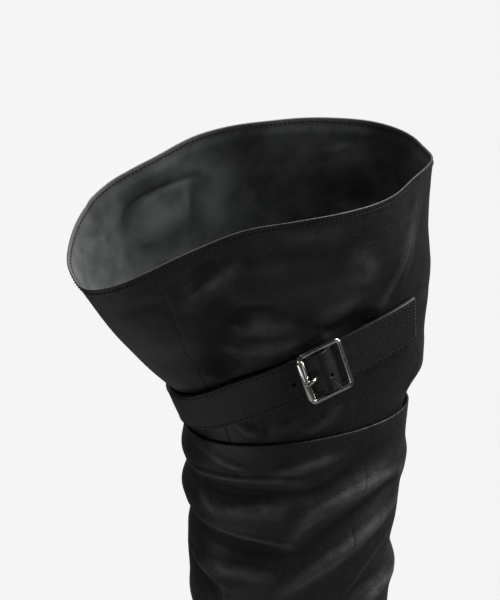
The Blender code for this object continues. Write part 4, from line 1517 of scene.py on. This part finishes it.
@dataclass
class Strap:
    """The strap round the cuff, sewn at both ends, with edge stitches and punched holes."""

    cuff: Cuff
    width: float = 27.5 * MM
    thickness: float = 2.4 * MM
    room: float = 0.8 * MM
    radius: float = 72 * MM
    outer_end: float = math.radians(130.3)
    inner_end: float = math.radians(-140)
    hump_height: float = 5.2 * MM
    hump_length: float = 6.2 * MM
    hump_reach: float = 0.68
    buckle_turn: float = math.radians(81.8)
    holes: tuple[tuple[float, float], ...] = ((-15.9 * MM, -1.4 * MM), (2.3 * MM, -3.4 * MM))
    hole_radius: float = 1.15 * MM
    hole_depth: float = 1.6 * MM
    hole_floor: float = 0.75
    hole_slope: float = 0.4
    hole_zone: float = 1.8 * MM
    hole_stations: int = 19
    fine_zone: tuple[float, float] = (-5.2 * MM, 0.4 * MM)
    stitch_inset: float = 1.9 * MM
    stitch_pitch: float = 3.1 * MM
    stitch_radius: float = 0.26 * MM
    stitch_end_gap: float = 0.04
    end_inset: float = 1.2 * MM
    end_pitch: float = 2.0 * MM
    end_radius: float = 0.28 * MM
    corner: float = 0.7 * MM
    crown: float = 0.25 * MM
    stations: int = 330
    column_points: int = 80

    def lie(self, turns: Array) -> tuple[Array, Array, Array, Array]:
        """The strap's lie on the cuff: its lower and upper edges, its heading and its outward normal.

        The strap is straight across. It is moved out by the most that the cuff bulges between its edges.

        Args:
            turns: Turn angles of its stations.

        Returns:
            Four arrays, (stations, 3).
        """
        places = np.linspace(1, len(self.cuff.rows()) - 2, self.column_points)
        column = self.cuff.point(*np.meshgrid(places, turns, indexing="ij"), creased=False).swapaxes(0, 1)
        run = running_length(column)
        at_ring = np.array([np.interp(STRAP_RING, places, line) for line in run])[:, None]
        ring = np.full(len(turns), float(STRAP_RING))
        step = MM / self.radius
        heading = unit(self.cuff.point(ring, turns + step, False) - self.cuff.point(ring, turns - step, False))
        ends = read_along(run, column, at_ring + np.array([-1, 1]) * self.width / 2)
        upright = unit(ends[:, 1] - ends[:, 0])
        reach = self.width / 2 / np.sqrt(1 - (heading * upright).sum(-1, keepdims=True) ** 2)
        normal = unit(np.cross(heading, upright))
        edges = read_along(run, column, at_ring + np.array([-1, 1]) * reach)
        lower, upper = edges[:, 0], edges[:, 1]
        proud = np.einsum("ijk,ik->ij", column - lower[:, None], normal)
        bulge = np.where(np.abs(run - at_ring) < reach, proud, 0).max(axis=1, keepdims=True) * normal
        return lower + bulge, upper + bulge, heading, normal

    def buckle_axes(self) -> tuple[Array, Array, Array, Array]:
        """The buckle's middle on the cuff and its axes: along the strap, across it, and outwards."""
        lower, upper, heading, normal = (part[0] for part in self.lie(np.array([self.buckle_turn])))
        return (lower + upper) / 2, heading, np.cross(normal, heading), normal

    def stand_off(self, edge: Array, turns: Array) -> Array:
        """How far the inner face stands off the cuff: a bell's height more over the buckle's centre bar.

        Args:
            edge: Points of one edge, (stations, 3).
            turns: Their turn angles.

        Returns:
            The distance at each.
        """
        middle, along, _, _ = self.buckle_axes()
        away = (edge - middle) @ along
        near = np.abs(turns - self.buckle_turn) < self.hump_reach
        return self.room + near * self.hump_height * hump(away, self.hump_length)

    def surface(self, turns: Array, across: Array, out: Array) -> Array:
        """Points of the strap.

        Args:
            turns: Turn angles, (stations,).
            across: Distances from its middle line, (points,).
            out: Distances out of its inner face, (stations, points).

        Returns:
            Points in the boot's own sizes, (stations, points, 3).
        """
        lower, upper, _, normal = self.lie(turns)
        low, high = (edge + self.stand_off(edge, turns)[:, None] * normal for edge in (lower, upper))
        share = (across / self.width + 0.5)[None, :, None]
        return low[:, None] * (1 - share) + high[:, None] * share + out[..., None] * normal[:, None]

    def profile(self) -> tuple[Array, Array]:
        """The outline across the strap: a rectangle with round corners, crowned on top, closer by the holes.

        Returns:
            Its distances across and outwards.
        """
        half, flat = self.width / 2, self.width / 2 - self.corner
        close = np.linspace(*self.fine_zone, 29)
        before, after = np.linspace(-flat, close[0], 13)[:-1], np.linspace(close[-1], flat, 15)[1:]
        top = np.concatenate([before, close, after])
        turns = np.linspace(0, math.pi / 2, 5)[1:-1]
        round_across, round_out = flat + self.corner * np.cos(turns), self.corner * np.sin(turns)
        bottom = np.linspace(flat, -flat, 14)
        across = np.concatenate([top, round_across[::-1], [half, half], round_across, bottom,
                                 -round_across[::-1], [-half, -half], -round_across])
        above, under = self.thickness - self.corner, self.corner
        out = np.concatenate([
            np.full(len(top), self.thickness), above + round_out[::-1], [above, under], under - round_out,
            np.zeros(len(bottom)), under - round_out[::-1], [under, above], above + round_out,
        ])
        crown = self.crown * (1 - (across / half) ** 2) * (out > above)
        return across[::-1], (out + crown)[::-1]

    def build(self, leather: bpy.types.Material, thread: bpy.types.Material, tack: bpy.types.Material) -> None:
        """Makes the strap with its punched holes, and its edge and end stitches.

        Args:
            leather: The strap's finish.
            thread: The edge stitches' finish.
            tack: The end stitches' finish.
        """
        even = np.linspace(self.inner_end, self.outer_end, self.stations)
        zone = np.linspace(-self.hole_zone, self.hole_zone, self.hole_stations)
        extra = [self.buckle_turn + (hole + zone) / self.radius for hole, _ in self.holes]
        turns = np.unique(np.concatenate([even, *extra]))
        across, out = self.profile()
        out = np.repeat(out[None], len(turns), 0)
        along = (turns - self.buckle_turn) * self.radius
        for hole, aside in self.holes:
            gap = np.hypot((along - hole)[:, None], (across - aside)[None])
            pit = 1 - smooth_step((gap / self.hole_radius - self.hole_floor) / self.hole_slope)
            out = out - self.hole_depth * pit * (out > self.thickness - self.corner)
        points = self.surface(turns, across, out)
        capped = with_poles(points)
        skin = RingSkin(capped + self.cuff.stand, np.zeros(len(capped) - 1, int))
        piece = skin.to_piece("strap_band", [leather])
        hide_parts("strap")
        rows = (("strap_stitches", self.edge_stitches, thread), ("strap_end_stitches", self.end_stitches, tack))
        for name, row, finish in rows:
            made = loft_piece(name, np.concatenate([row(-1), row(1)]) + self.cuff.stand, finish)

    def edge_stitches(self, way: int) -> Array:
        """Stitches along one edge, from end to end.

        Args:
            way: 1 for the upper edge, -1 for the lower.

        Returns:
            The stitches' rings.
        """
        gap = self.stitch_end_gap
        turns = np.linspace(self.inner_end + gap, self.outer_end - gap, self.stations)
        across = np.array([way * (self.width / 2 - self.stitch_inset)])
        path = self.surface(turns, across, np.full((len(turns), 1), self.thickness))[:, 0]
        return stitches(path, self.lie(turns)[3], self.stitch_pitch, self.stitch_radius)

    def end_stitches(self, way: int) -> Array:
        """Stitches across one end, through the cuff.

        Args:
            way: 1 for the outer end, -1 for the inner.

        Returns:
            The stitches' rings.
        """
        end = self.outer_end if way > 0 else self.inner_end
        turns = np.array([end - way * self.end_inset / self.radius])
        across = np.linspace(-1, 1, 30) * (self.width / 2 - self.stitch_inset)
        path = self.surface(turns, across, np.full((1, len(across)), self.thickness))[0]
        out = np.repeat(self.lie(turns)[3], len(across), 0)
        return stitches(path, out, self.end_pitch, self.end_radius)


@dataclass
class Buckle:
    """The square roller buckle: a bent wire with its sunk centre bar, a loose sleeve and a short prong."""

    strap: Strap
    length: float = 27.3 * MM
    breadth: float = 34 * MM
    corner: float = 2.4 * MM
    wire: float = 1.3 * MM
    stand_off: float = 5.8 * MM
    centre_bar: float = 1.0 * MM
    centre_bar_stand_off: float = 4.0 * MM
    roller_radius: float = 2.5 * MM
    roller_bore: float = 1.5 * MM
    roller_length: float = 26 * MM
    roller_edge: float = 0.02
    wire_breadth: float = 1.12
    squareness: float = 2.2
    prong_radius: float = 1.25 * MM
    prong_tip: float = 0.08
    prong_line: tuple[tuple[float, float], ...] = (
        (-2.5, 3.8), (-5.4, 5.2), (-7.3, 7.8), (-8.9, 9.4), (-11.6, 9.9), (-14.4, 9.7),
    )

    def place(self, along: Array, across: Array, out: Array) -> Array:
        """Points by the buckle's own axes: its middle plus each distance times its axis.

        Args:
            along: Distances along the strap.
            across: Distances across it.
            out: Distances away from the cuff.

        Returns:
            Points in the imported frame.
        """
        centre, *axes = self.strap.buckle_axes()
        parts = (np.asarray(part)[..., None] * axis for part, axis in zip((along, across, out), axes))
        return centre + self.strap.cuff.stand + sum(parts)

    def outline(self) -> tuple[Array, Array]:
        """The wire's middle line, a square with a quarter circle at each corner.

        Returns:
            Its points and its outward directions, along and across the strap.
        """
        half_length, half_breadth = self.length / 2 - self.wire, self.breadth / 2 - self.wire
        turns = (np.arange(4)[:, None] + np.linspace(0, 1, 9)) * math.pi / 2
        signs = np.array([(1, 1), (-1, 1), (-1, -1), (1, -1)])[:, None]
        out = np.stack([np.cos(turns), np.sin(turns)], -1)
        corners = signs * (np.array([half_length, half_breadth]) - self.corner) + self.corner * out
        return corners.reshape(-1, 2), out.reshape(-1, 2)

    def bar(self, ends: Array, radii: Array, shares: Array, sides: int) -> Array:
        """Rings of a straight turned bar: radii at shares of the way between two ends.

        Args:
            ends: Its two ends in the buckle's axes, (2, 3).
            radii: The radius at each share.
            shares: Shares of its length.
            sides: Points round it.

        Returns:
            One loft's rings.
        """
        _, along, _, out = self.strap.buckle_axes()
        path = self.place(*(ends[0] + shares[:, None] * (ends[1] - ends[0])).T)
        turns = np.arange(sides) * 2 * math.pi / sides
        ring = np.cos(turns)[:, None] * out + np.sin(turns)[:, None] * along
        return (path[:, None] + radii[:, None, None] * ring)[None]

    def build(self, nickel: bpy.types.Material) -> None:
        """Makes the wire frame with its bar, the sleeve and the prong.

        Args:
            nickel: Their finish.
        """
        line, outward = self.outline()
        profile = rounded_profile(self.wire_breadth * self.wire, self.wire, self.squareness, 24)
        along = line[:, None, 0] + outward[:, None, 0] * profile[None, :, 0]
        across = line[:, None, 1] + outward[:, None, 1] * profile[None, :, 0]
        rings = self.place(along, across, np.broadcast_to(self.stand_off - profile[:, 1], along.shape))
        frame = loft_piece("buckle_wire", rings[None], nickel, loop=True)
        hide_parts("buckle_frame")
        reach = self.breadth / 2 - self.wire
        ends = np.array([(0, -reach, self.centre_bar_stand_off), (0, reach, self.centre_bar_stand_off)])
        shares = np.linspace(0, 1, 7)
        rings = self.bar(ends, np.full(len(shares), self.centre_bar), shares, 16)
        bar = loft_piece("buckle_centre_bar", rings, nickel)
        self.build_sleeve(nickel)
        self.build_prong(nickel)

    def build_sleeve(self, nickel: bpy.types.Material) -> None:
        """Makes the loose sleeve: a turned tube with rounded ends and its bore.

        Args:
            nickel: Its finish.
        """
        place = -(self.length / 2 - self.wire)
        half = self.roller_length / 2
        ends = np.array([(place, -half, self.stand_off), (place, half, self.stand_off)])
        outer, bore, edge = self.roller_radius, self.roller_bore, self.roller_edge
        radii = np.array([bore, 0.5 * (bore + outer), 0.93 * outer, outer])
        shares = np.array([0, 0, 0.3 * edge, edge])
        radii, shares = np.concatenate([radii, radii[::-1]]), np.concatenate([shares, 1 - shares[::-1]])
        rings = self.bar(ends, radii, shares, 28)
        sleeve = loft_piece("buckle_sleeve", rings, nickel, loop=True)
        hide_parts("buckle_roller")

    def build_prong(self, nickel: bpy.types.Material) -> None:
        """Makes the prong: a bent bar with a rounded, slightly flattened tip on the sleeve.

        Args:
            nickel: Its finish.
        """
        knots = np.array(self.prong_line) * MM
        places = np.linspace(0, len(knots) - 1, 33)
        line = spline(knots, places)
        ahead = unit(np.gradient(line, axis=0))
        square = np.stack([-ahead[:, 1], ahead[:, 0]], -1)
        share = np.linspace(0, 1, len(line))
        tip = np.clip((share - 1) / self.prong_tip + 1, 0, 1)
        girth = self.prong_radius * np.sqrt(np.clip(1 - tip**2, 0.02, 1))
        profile = rounded_profile(1.0, 1.0, self.squareness, 20)
        along = line[:, None, 0] + girth[:, None] * profile[:, 1] * square[:, None, 0]
        out = line[:, None, 1] + girth[:, None] * profile[:, 1] * square[:, None, 1]
        rings = self.place(along, -girth[:, None] * profile[:, 0], out)
        prong = loft_piece("buckle_tongue", rings[None], nickel)
        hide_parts("buckle_prong")


@dataclass
class SoleUnit:
    """The outsole, the block heel with its top piece, and the footbed."""

    upper: Upper
    margin: float = 0.8 * MM
    feather_rise: float = 4.0 * MM
    toe_tuck: float = 0.3 * MM
    edge_rounding: float = 6.0
    insole_rise: float = 5.6 * MM
    insole_thickness: float = 3.0 * MM
    insole_inset: float = 8.5 * MM
    heel_breast: float = 46 * MM
    heel_inset: float = 0.8 * MM
    heel_taper: float = 0.10
    heel_back_taper: float = 0.06
    heel_waist: float = 1.6 * MM
    heel_gap: float = 0.3 * MM
    heel_edge: float = 0.5 * MM
    heel_edge_share: float = 0.02
    heel_rings: int = 25
    top_piece_thickness: float = 6 * MM
    top_piece_rounds: tuple[tuple[float, float], ...] = (
        (0.0, 0.5), (0.15, 0.2), (0.5, 0.0), (5.5, 0.0), (5.85, 0.2), (6.0, 0.5),
    )
    slab_squareness: float = 7.0
    slab_sides: int = 48
    stations: int = 110

    def feather_line(self) -> tuple[Array, Array]:
        """Where the upper turns under: on each section, the first spot at the feather's height above its sole.

        Returns:
            The outer and the inner line, (spots, 3).
        """
        places = np.linspace(0, len(FOOT_SECTIONS) + 1, 160)[1:-1]
        lines = []
        for way in (1, -1):
            turns = np.linspace(way * math.pi / 2, way * math.pi, 320)
            grid = self.upper.point(*np.meshgrid(places, turns, indexing="ij"), creased=False)
            low = grid[..., 2] - self.upper.last.sole_line(grid[..., 0]) < self.feather_rise
            spot = np.maximum(low.argmax(axis=1) - 1, 0)
            lines.append(grid[np.arange(len(places)), spot][low.any(axis=1)])
        return lines[0], lines[1]

    def outline(self, grow: float) -> tuple[Array, Array, Array]:
        """The sole's outline, moved outwards from the feather line.

        Args:
            grow: How far it is moved.

        Returns:
            Lengths of stations along the foot, and the outer and the inner edge at each.
        """
        last = self.upper.last
        sides = self.feather_line()
        heel = min(side[:, 0].min() for side in sides) - grow
        toe = last.length + grow - self.toe_tuck
        half_turn = np.linspace(0, math.pi, self.stations + 1)
        stations = heel + (toe - heel) * (1 - np.cos(half_turn)) / 2
        margin = grow * np.clip(np.sin(half_turn) * self.edge_rounding, 0, 1)
        middle = (heel + toe) / 2
        shrunk = middle + (stations - middle) * (toe - heel - 2 * grow) / (toe - heel)
        edges = []
        for side, way in zip(sides, (1, -1)):
            order = np.argsort(side[:, 0])
            x = np.concatenate([[heel + grow], side[order, 0], [last.length]])
            y = np.concatenate([[0], side[order, 1], [side[side[:, 0].argmax(), 1]]])
            edges.append(np.interp(shrunk, x, y) + way * margin)
        return stations, edges[0], edges[1]

    def slab(self, stations: Array, outer: Array, inner: Array, top: Array, bottom: Array) -> RingSkin:
        """A slab with soft edges: at each station a rounded-square ring between the edges and heights.

        Args:
            stations: Lengths along the foot.
            outer: The outer edge at each.
            inner: The inner edge at each.
            top: The upper face's height at each.
            bottom: The lower face's height at each.

        Returns:
            The slab as a skin, heel to toe.
        """
        ring = rounded_profile(1.0, 1.0, self.slab_squareness, self.slab_sides)[::-1]
        middle, half = (outer + inner) / 2, (outer - inner) / 2
        y = middle[:, None] + half[:, None] * ring[:, 0]
        z = ((top + bottom) / 2)[:, None] + ((top - bottom) / 2)[:, None] * ring[:, 1]
        points = np.stack([np.repeat(stations[:, None], len(ring), 1), y, z], -1)
        points = with_poles(points)
        return RingSkin(points[::-1] + self.upper.stand, np.zeros(len(points) - 1, int))

    def heel_ring(self, taper: float, waist: float) -> Array:
        """The heel's outline in plan: round the back, with a straight breast.

        Args:
            taper: The share of the heel's taper that it is drawn in by.
            waist: How far it is moved inwards.

        Returns:
            The outline, (points, 2).
        """
        stations, outer, inner = self.outline(self.margin - self.heel_inset)
        x = np.concatenate([stations[stations < self.heel_breast - MM], [self.heel_breast]])
        narrowed = 1 - taper * self.heel_taper
        outer_y, inner_y = (np.interp(x, stations, side) * narrowed for side in (outer, inner))
        x = self.heel_breast + (x - self.heel_breast) * (1 - taper * self.heel_back_taper)
        share = np.linspace(0, 1, 14)[1:-1]
        breast_y = inner_y[-1] + (outer_y[-1] - inner_y[-1]) * share
        breast = np.stack([np.full(len(share), self.heel_breast), breast_y], -1)
        ring = np.vstack([np.stack([x, outer_y], -1)[::-1], np.stack([x, inner_y], -1)[1:], breast])
        middle = np.array([x.mean(), 0])
        return ring - waist * unit(ring - middle)

    def build(
        self, rubber: bpy.types.Material, leather: bpy.types.Material, lining: bpy.types.Material
    ) -> None:
        """Makes the outsole, the footbed, the heel block and its top piece.

        Args:
            rubber: The finish of the outsole and top piece.
            leather: The heel block's covering.
            lining: The footbed's cloth.
        """
        last = self.upper.last
        stations, outer, inner = self.outline(self.margin)
        top = last.sole_line(stations) - last.sole_gap
        sole = self.slab(stations, outer, inner, top, last.underside(stations)).to_piece("sole_plate", [rubber])
        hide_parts("outsole")
        stations, outer, inner = self.outline(-self.insole_inset)
        bottom = last.sole_line(stations) + self.insole_rise
        bed = self.slab(stations, outer, inner, bottom + self.insole_thickness, bottom)
        footbed = bed.to_piece("foot_bed", [lining])
        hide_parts("insole")
        self.build_heel(rubber, leather)

    def build_heel(self, rubber: bpy.types.Material, leather: bpy.types.Material) -> None:
        """Makes the heel block, drawn in at its middle, and the top piece that it walks on.

        Args:
            rubber: The top piece's finish.
            leather: The block's covering.
        """
        foot = self.top_piece_thickness + self.heel_gap
        rings = []
        for share in np.linspace(0, 1, self.heel_rings):
            end = self.heel_edge * (hump(share, self.heel_edge_share) + hump(share - 1, self.heel_edge_share))
            ring = self.heel_ring(1 - share, self.heel_waist * math.sin(share * math.pi) + end)
            seat = self.upper.last.underside(ring[:, 0]) - self.upper.last.sole_gap
            rings.append(np.column_stack([ring, foot + (seat - foot) * share]))
        block = loft_piece("heel_stack", np.array(rings)[None, :, ::-1] + self.upper.stand, leather)
        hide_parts("heel_block")
        rings = []
        for height, inset in self.top_piece_rounds:
            ring = self.heel_ring(1.0, inset * MM)
            rings.append(np.column_stack([ring, np.full(len(ring), height * MM)]))
        tip = loft_piece("heel_tip", np.array(rings)[None, :, ::-1] + self.upper.stand, rubber)
        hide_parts("heel_top_piece")


class Lamp(NamedTuple):
    """A soft, distant light: the direction it comes from, its breadth in degrees and its strength."""

    name: str
    direction: tuple[float, float, float]
    breadth: float
    strength: float


@dataclass(frozen=True)
class Panel:
    """A small pale patch of the room, which polished metal mirrors: its direction, soft edge and glow."""

    direction: tuple[float, float, float]
    spread: tuple[float, float]
    level: float


@dataclass
class Studio:
    """A pale floor, soft lamps and the camera."""

    stand: Array
    elevation: float = math.radians(30)
    swing: float = math.radians(25)
    distance: float = 1.4
    pixels_per_mm: float = 1.78
    target: tuple[float, float, float] = (89.2 * MM, -0.4 * MM, 413.75 * MM)
    sensor: float = 36.0
    floor_size: float = 14.0
    sky_level: float = 0.15
    sky_spread: tuple[float, float] = (-0.15, 0.35)
    panels: tuple[Panel, ...] = (
        Panel((0.15, -0.66, 0.736), (0.82, 0.95), 1.2),
        Panel((0.37, 0.22, 0.90), (0.97, 0.99), 1.3),
        Panel((0.97, 0.09, -0.22), (0.985, 0.997), 0.25),
        Panel((-0.72, 0.45, 0.53), (0.96, 0.99), 1.6),
    )
    ground_level: float = 0.04
    near_floor_level: float = 0.32
    near_floor_spread: tuple[float, float] = (0.65, 1.0)
    camera_side_level: float = 0.02
    camera_side_spread: tuple[float, float] = (0.55, 0.95)
    backdrop_level: float = 0.15
    backdrop_spread: tuple[float, float] = (0.8, 0.99)
    floor_level: float = 0.36
    floor_glow: float = 0.204
    floor_roughness: float = 0.9
    floor_lines: int = 9
    lamp_distance: float = 3.0
    lamps: tuple[Lamp, ...] = (
        Lamp("top_light", (-0.52, -0.10, 0.85), 50.0, 5.8),
        Lamp("right_light", (-0.86, 0.42, 0.20), 24.0, 0.55),
        Lamp("left_light", (0.84, 0.26, -0.46), 26.0, 0.24),
        Lamp("front_light", (0.55, 0.66, -0.50), 24.0, 0.10),
        Lamp("side_light", (-0.40, 0.90, -0.15), 26.0, 0.08),
    )

    def build(self) -> None:
        """Makes the camera, the world, the floor and the lamps."""
        self.build_camera()
        self.build_floor()
        for lamp in self.lamps:
            self.build_lamp(lamp)
        self.build_world()
        bpy.context.scene.view_settings.view_transform = "Standard"

    def build_world(self) -> None:
        """Makes the room's glow: dim, dark towards the camera, pale below and behind, with its small panels."""
        graph = Graph(bpy.data.worlds.new("studio"), "Background")
        way = graph.node("ShaderNodeTexCoord", {}, {}).outputs["Generated"]
        split = graph.node("ShaderNodeSeparateXYZ", {}, {"Vector": way})
        away = tuple((-self.aim()[0]).tolist())
        facing = graph.node("ShaderNodeVectorMath", {"operation": "DOT_PRODUCT"}, {0: way, 1: away})
        height = Signal(graph, split.outputs["Z"])
        depth = Signal(graph, facing.outputs["Value"])
        room = graph.blend(height.ramp(*self.sky_spread), (self.ground_level,) * 3, (self.sky_level,) * 3)
        room = graph.blend((0 - height).ramp(*self.near_floor_spread), room, (self.near_floor_level,) * 3)
        room = graph.blend((0 - depth).ramp(*self.camera_side_spread), room, (self.camera_side_level,) * 3)
        room = graph.blend(depth.ramp(*self.backdrop_spread), room, (self.backdrop_level,) * 3)
        for panel in self.panels:
            sides = {0: way, 1: panel.direction}
            near = graph.node("ShaderNodeVectorMath", {"operation": "DOT_PRODUCT"}, sides)
            shine = Signal(graph, near.outputs["Value"]).ramp(*panel.spread)
            room = graph.blend(shine, room, (panel.level,) * 3)
        graph.put(graph.shader, {"Color": room, "Strength": 1.0})
        bpy.context.scene.world = graph.owner

    def aim(self) -> tuple[Array, Array]:
        """The camera's directions, from its swing and elevation.

        Returns:
            Backwards, and to its right.
        """
        e, a = self.elevation, self.swing
        back = np.array([math.sin(a) * math.cos(e), math.cos(a) * math.cos(e), math.sin(e)])
        return back, np.array([-math.cos(a), math.sin(a), 0.0])

    def build_camera(self) -> None:
        """Aims the camera: back from its target by its distance, at its swing and elevation."""
        back, right = self.aim()
        eye = np.array(self.target) + self.stand + back * self.distance
        data = bpy.data.cameras.new("camera")
        data.sensor_width = self.sensor
        data.lens = self.pixels_per_mm * self.sensor * self.distance / MM / max(IMAGE_SIZE)
        camera = bpy.data.objects.new("camera", data)
        turn = np.stack([right, np.cross(back, right), back, eye], -1)
        camera.matrix_world = Matrix([*turn.tolist(), [0, 0, 0, 1]])
        bpy.context.scene.collection.objects.link(camera)
        bpy.context.scene.camera = camera

    def build_floor(self) -> None:
        """Makes the pale floor as one large grid."""
        half = self.floor_size / 2
        steps = np.linspace(-half, half, self.floor_lines)
        x, y = np.meshgrid(steps, steps, indexing="ij")
        points = np.stack([x, y, np.zeros_like(x)], -1).reshape(-1, 3)
        ids = np.arange(points.shape[0]).reshape(x.shape)
        quads = np.stack([ids[:-1, :-1], ids[1:, :-1], ids[1:, 1:], ids[:-1, 1:]], -1).reshape(-1, 4)
        graph = Graph(bpy.data.materials.new("pale_floor"))
        graph.put_colour(graph.shader.inputs["Base Color"], (self.floor_level,) * 3)
        graph.put(graph.shader, {
            "Roughness": self.floor_roughness,
            "Specular IOR Level": 0.0,
            "Emission Strength": self.floor_glow,
        })
        graph.put_colour(graph.shader.inputs["Emission Color"], (1, 1, 1))
        mesh = bpy.data.meshes.new("floor")
        mesh.from_pydata(points.tolist(), [], quads.tolist())
        mesh.materials.append(graph.owner)
        floor = bpy.data.objects.new("floor", mesh)
        floor.visible_diffuse = floor.visible_glossy = floor.visible_shadow = False
        bpy.context.scene.collection.objects.link(floor)

    def build_lamp(self, lamp: Lamp) -> None:
        """Hangs one soft light and turns it towards the boot.

        Args:
            lamp: The light.
        """
        data = bpy.data.lights.new(lamp.name, "SUN")
        data.angle, data.energy = math.radians(lamp.breadth), lamp.strength
        light = bpy.data.objects.new(lamp.name, data)
        back = unit(np.array(lamp.direction))
        right = unit(np.cross((0, 0, 1), back))
        turn = np.stack([right, np.cross(back, right), back, self.lamp_distance * back], -1)
        light.matrix_world = Matrix([*turn.tolist(), [0, 0, 0, 1]])
        bpy.context.scene.collection.objects.link(light)


def main() -> None:
    """Builds and dresses the boot, piece by piece, in its studio."""
    logging.basicConfig(level=logging.INFO, format="%(message)s")
    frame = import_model()
    LOG.info("%d packed solids", len(frame["nodes"]))
    cuff = Cuff(stand=np.zeros(3))
    low, high = (np.array(corner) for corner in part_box("cuff"))
    stand = (low + high) / 2 - cuff.solid_middle()
    stand[2] = 0
    cuff.stand = stand
    LOG.info("the boot stands at %s mm", np.round(stand / MM, 2))
    Studio(stand).build()
    thread = SewingThread().material("sewing_thread")
    nickel = PolishedNickel().material("nickel_plate")
    rubber = SoleRubber().material("black_rubber")
    plain_lining = LiningCloth().material("grey_lining")
    shaft_seams = tuple(SeamLine(name, depth=0.08, roll_depth=0.1) for name in ("outer_seam", "inner_seam"))
    # The shaft's leather gets painted highlight and painted shade from the folds' and creases' map.
    shaft_leather = SoftLeather(seams=shaft_seams, painted_light_layer="wear").material("shaft_nappa")
    upper = Upper(Last(), stand)
    upper.build(shaft_leather, plain_lining)
    gussets = (SeamLine("outer_gusset"), SeamLine("inner_gusset"))
    # The cuff's leather and lining get painted highlight and painted shade from the creases' map.
    cuff_leather = SoftLeather(seams=gussets, stitch_layer="rim", painted_light_layer="wear").material("cuff_nappa")
    cuff_lining = LiningCloth(layer="rim", painted_light_layer="wear").material("cuff_lining")
    cuff.build(cuff_leather, cuff_lining, thread)
    strap = Strap(cuff)
    strap_finish = SoftLeather(colour=(0.008, 0.008, 0.0082), worn=(0.012, 0.012, 0.0122), cloud_depth=0.12)
    tack = SewingThread(colour=(0.07, 0.07, 0.07)).material("tack_thread")
    strap.build(strap_finish.material("strap_nappa"), thread, tack)
    Buckle(strap).build(nickel)
    SoleUnit(upper).build(rubber, SoftLeather(cloud_depth=0.05).material("heel_nappa"), plain_lining)


if __name__ == "__main__":
    main()
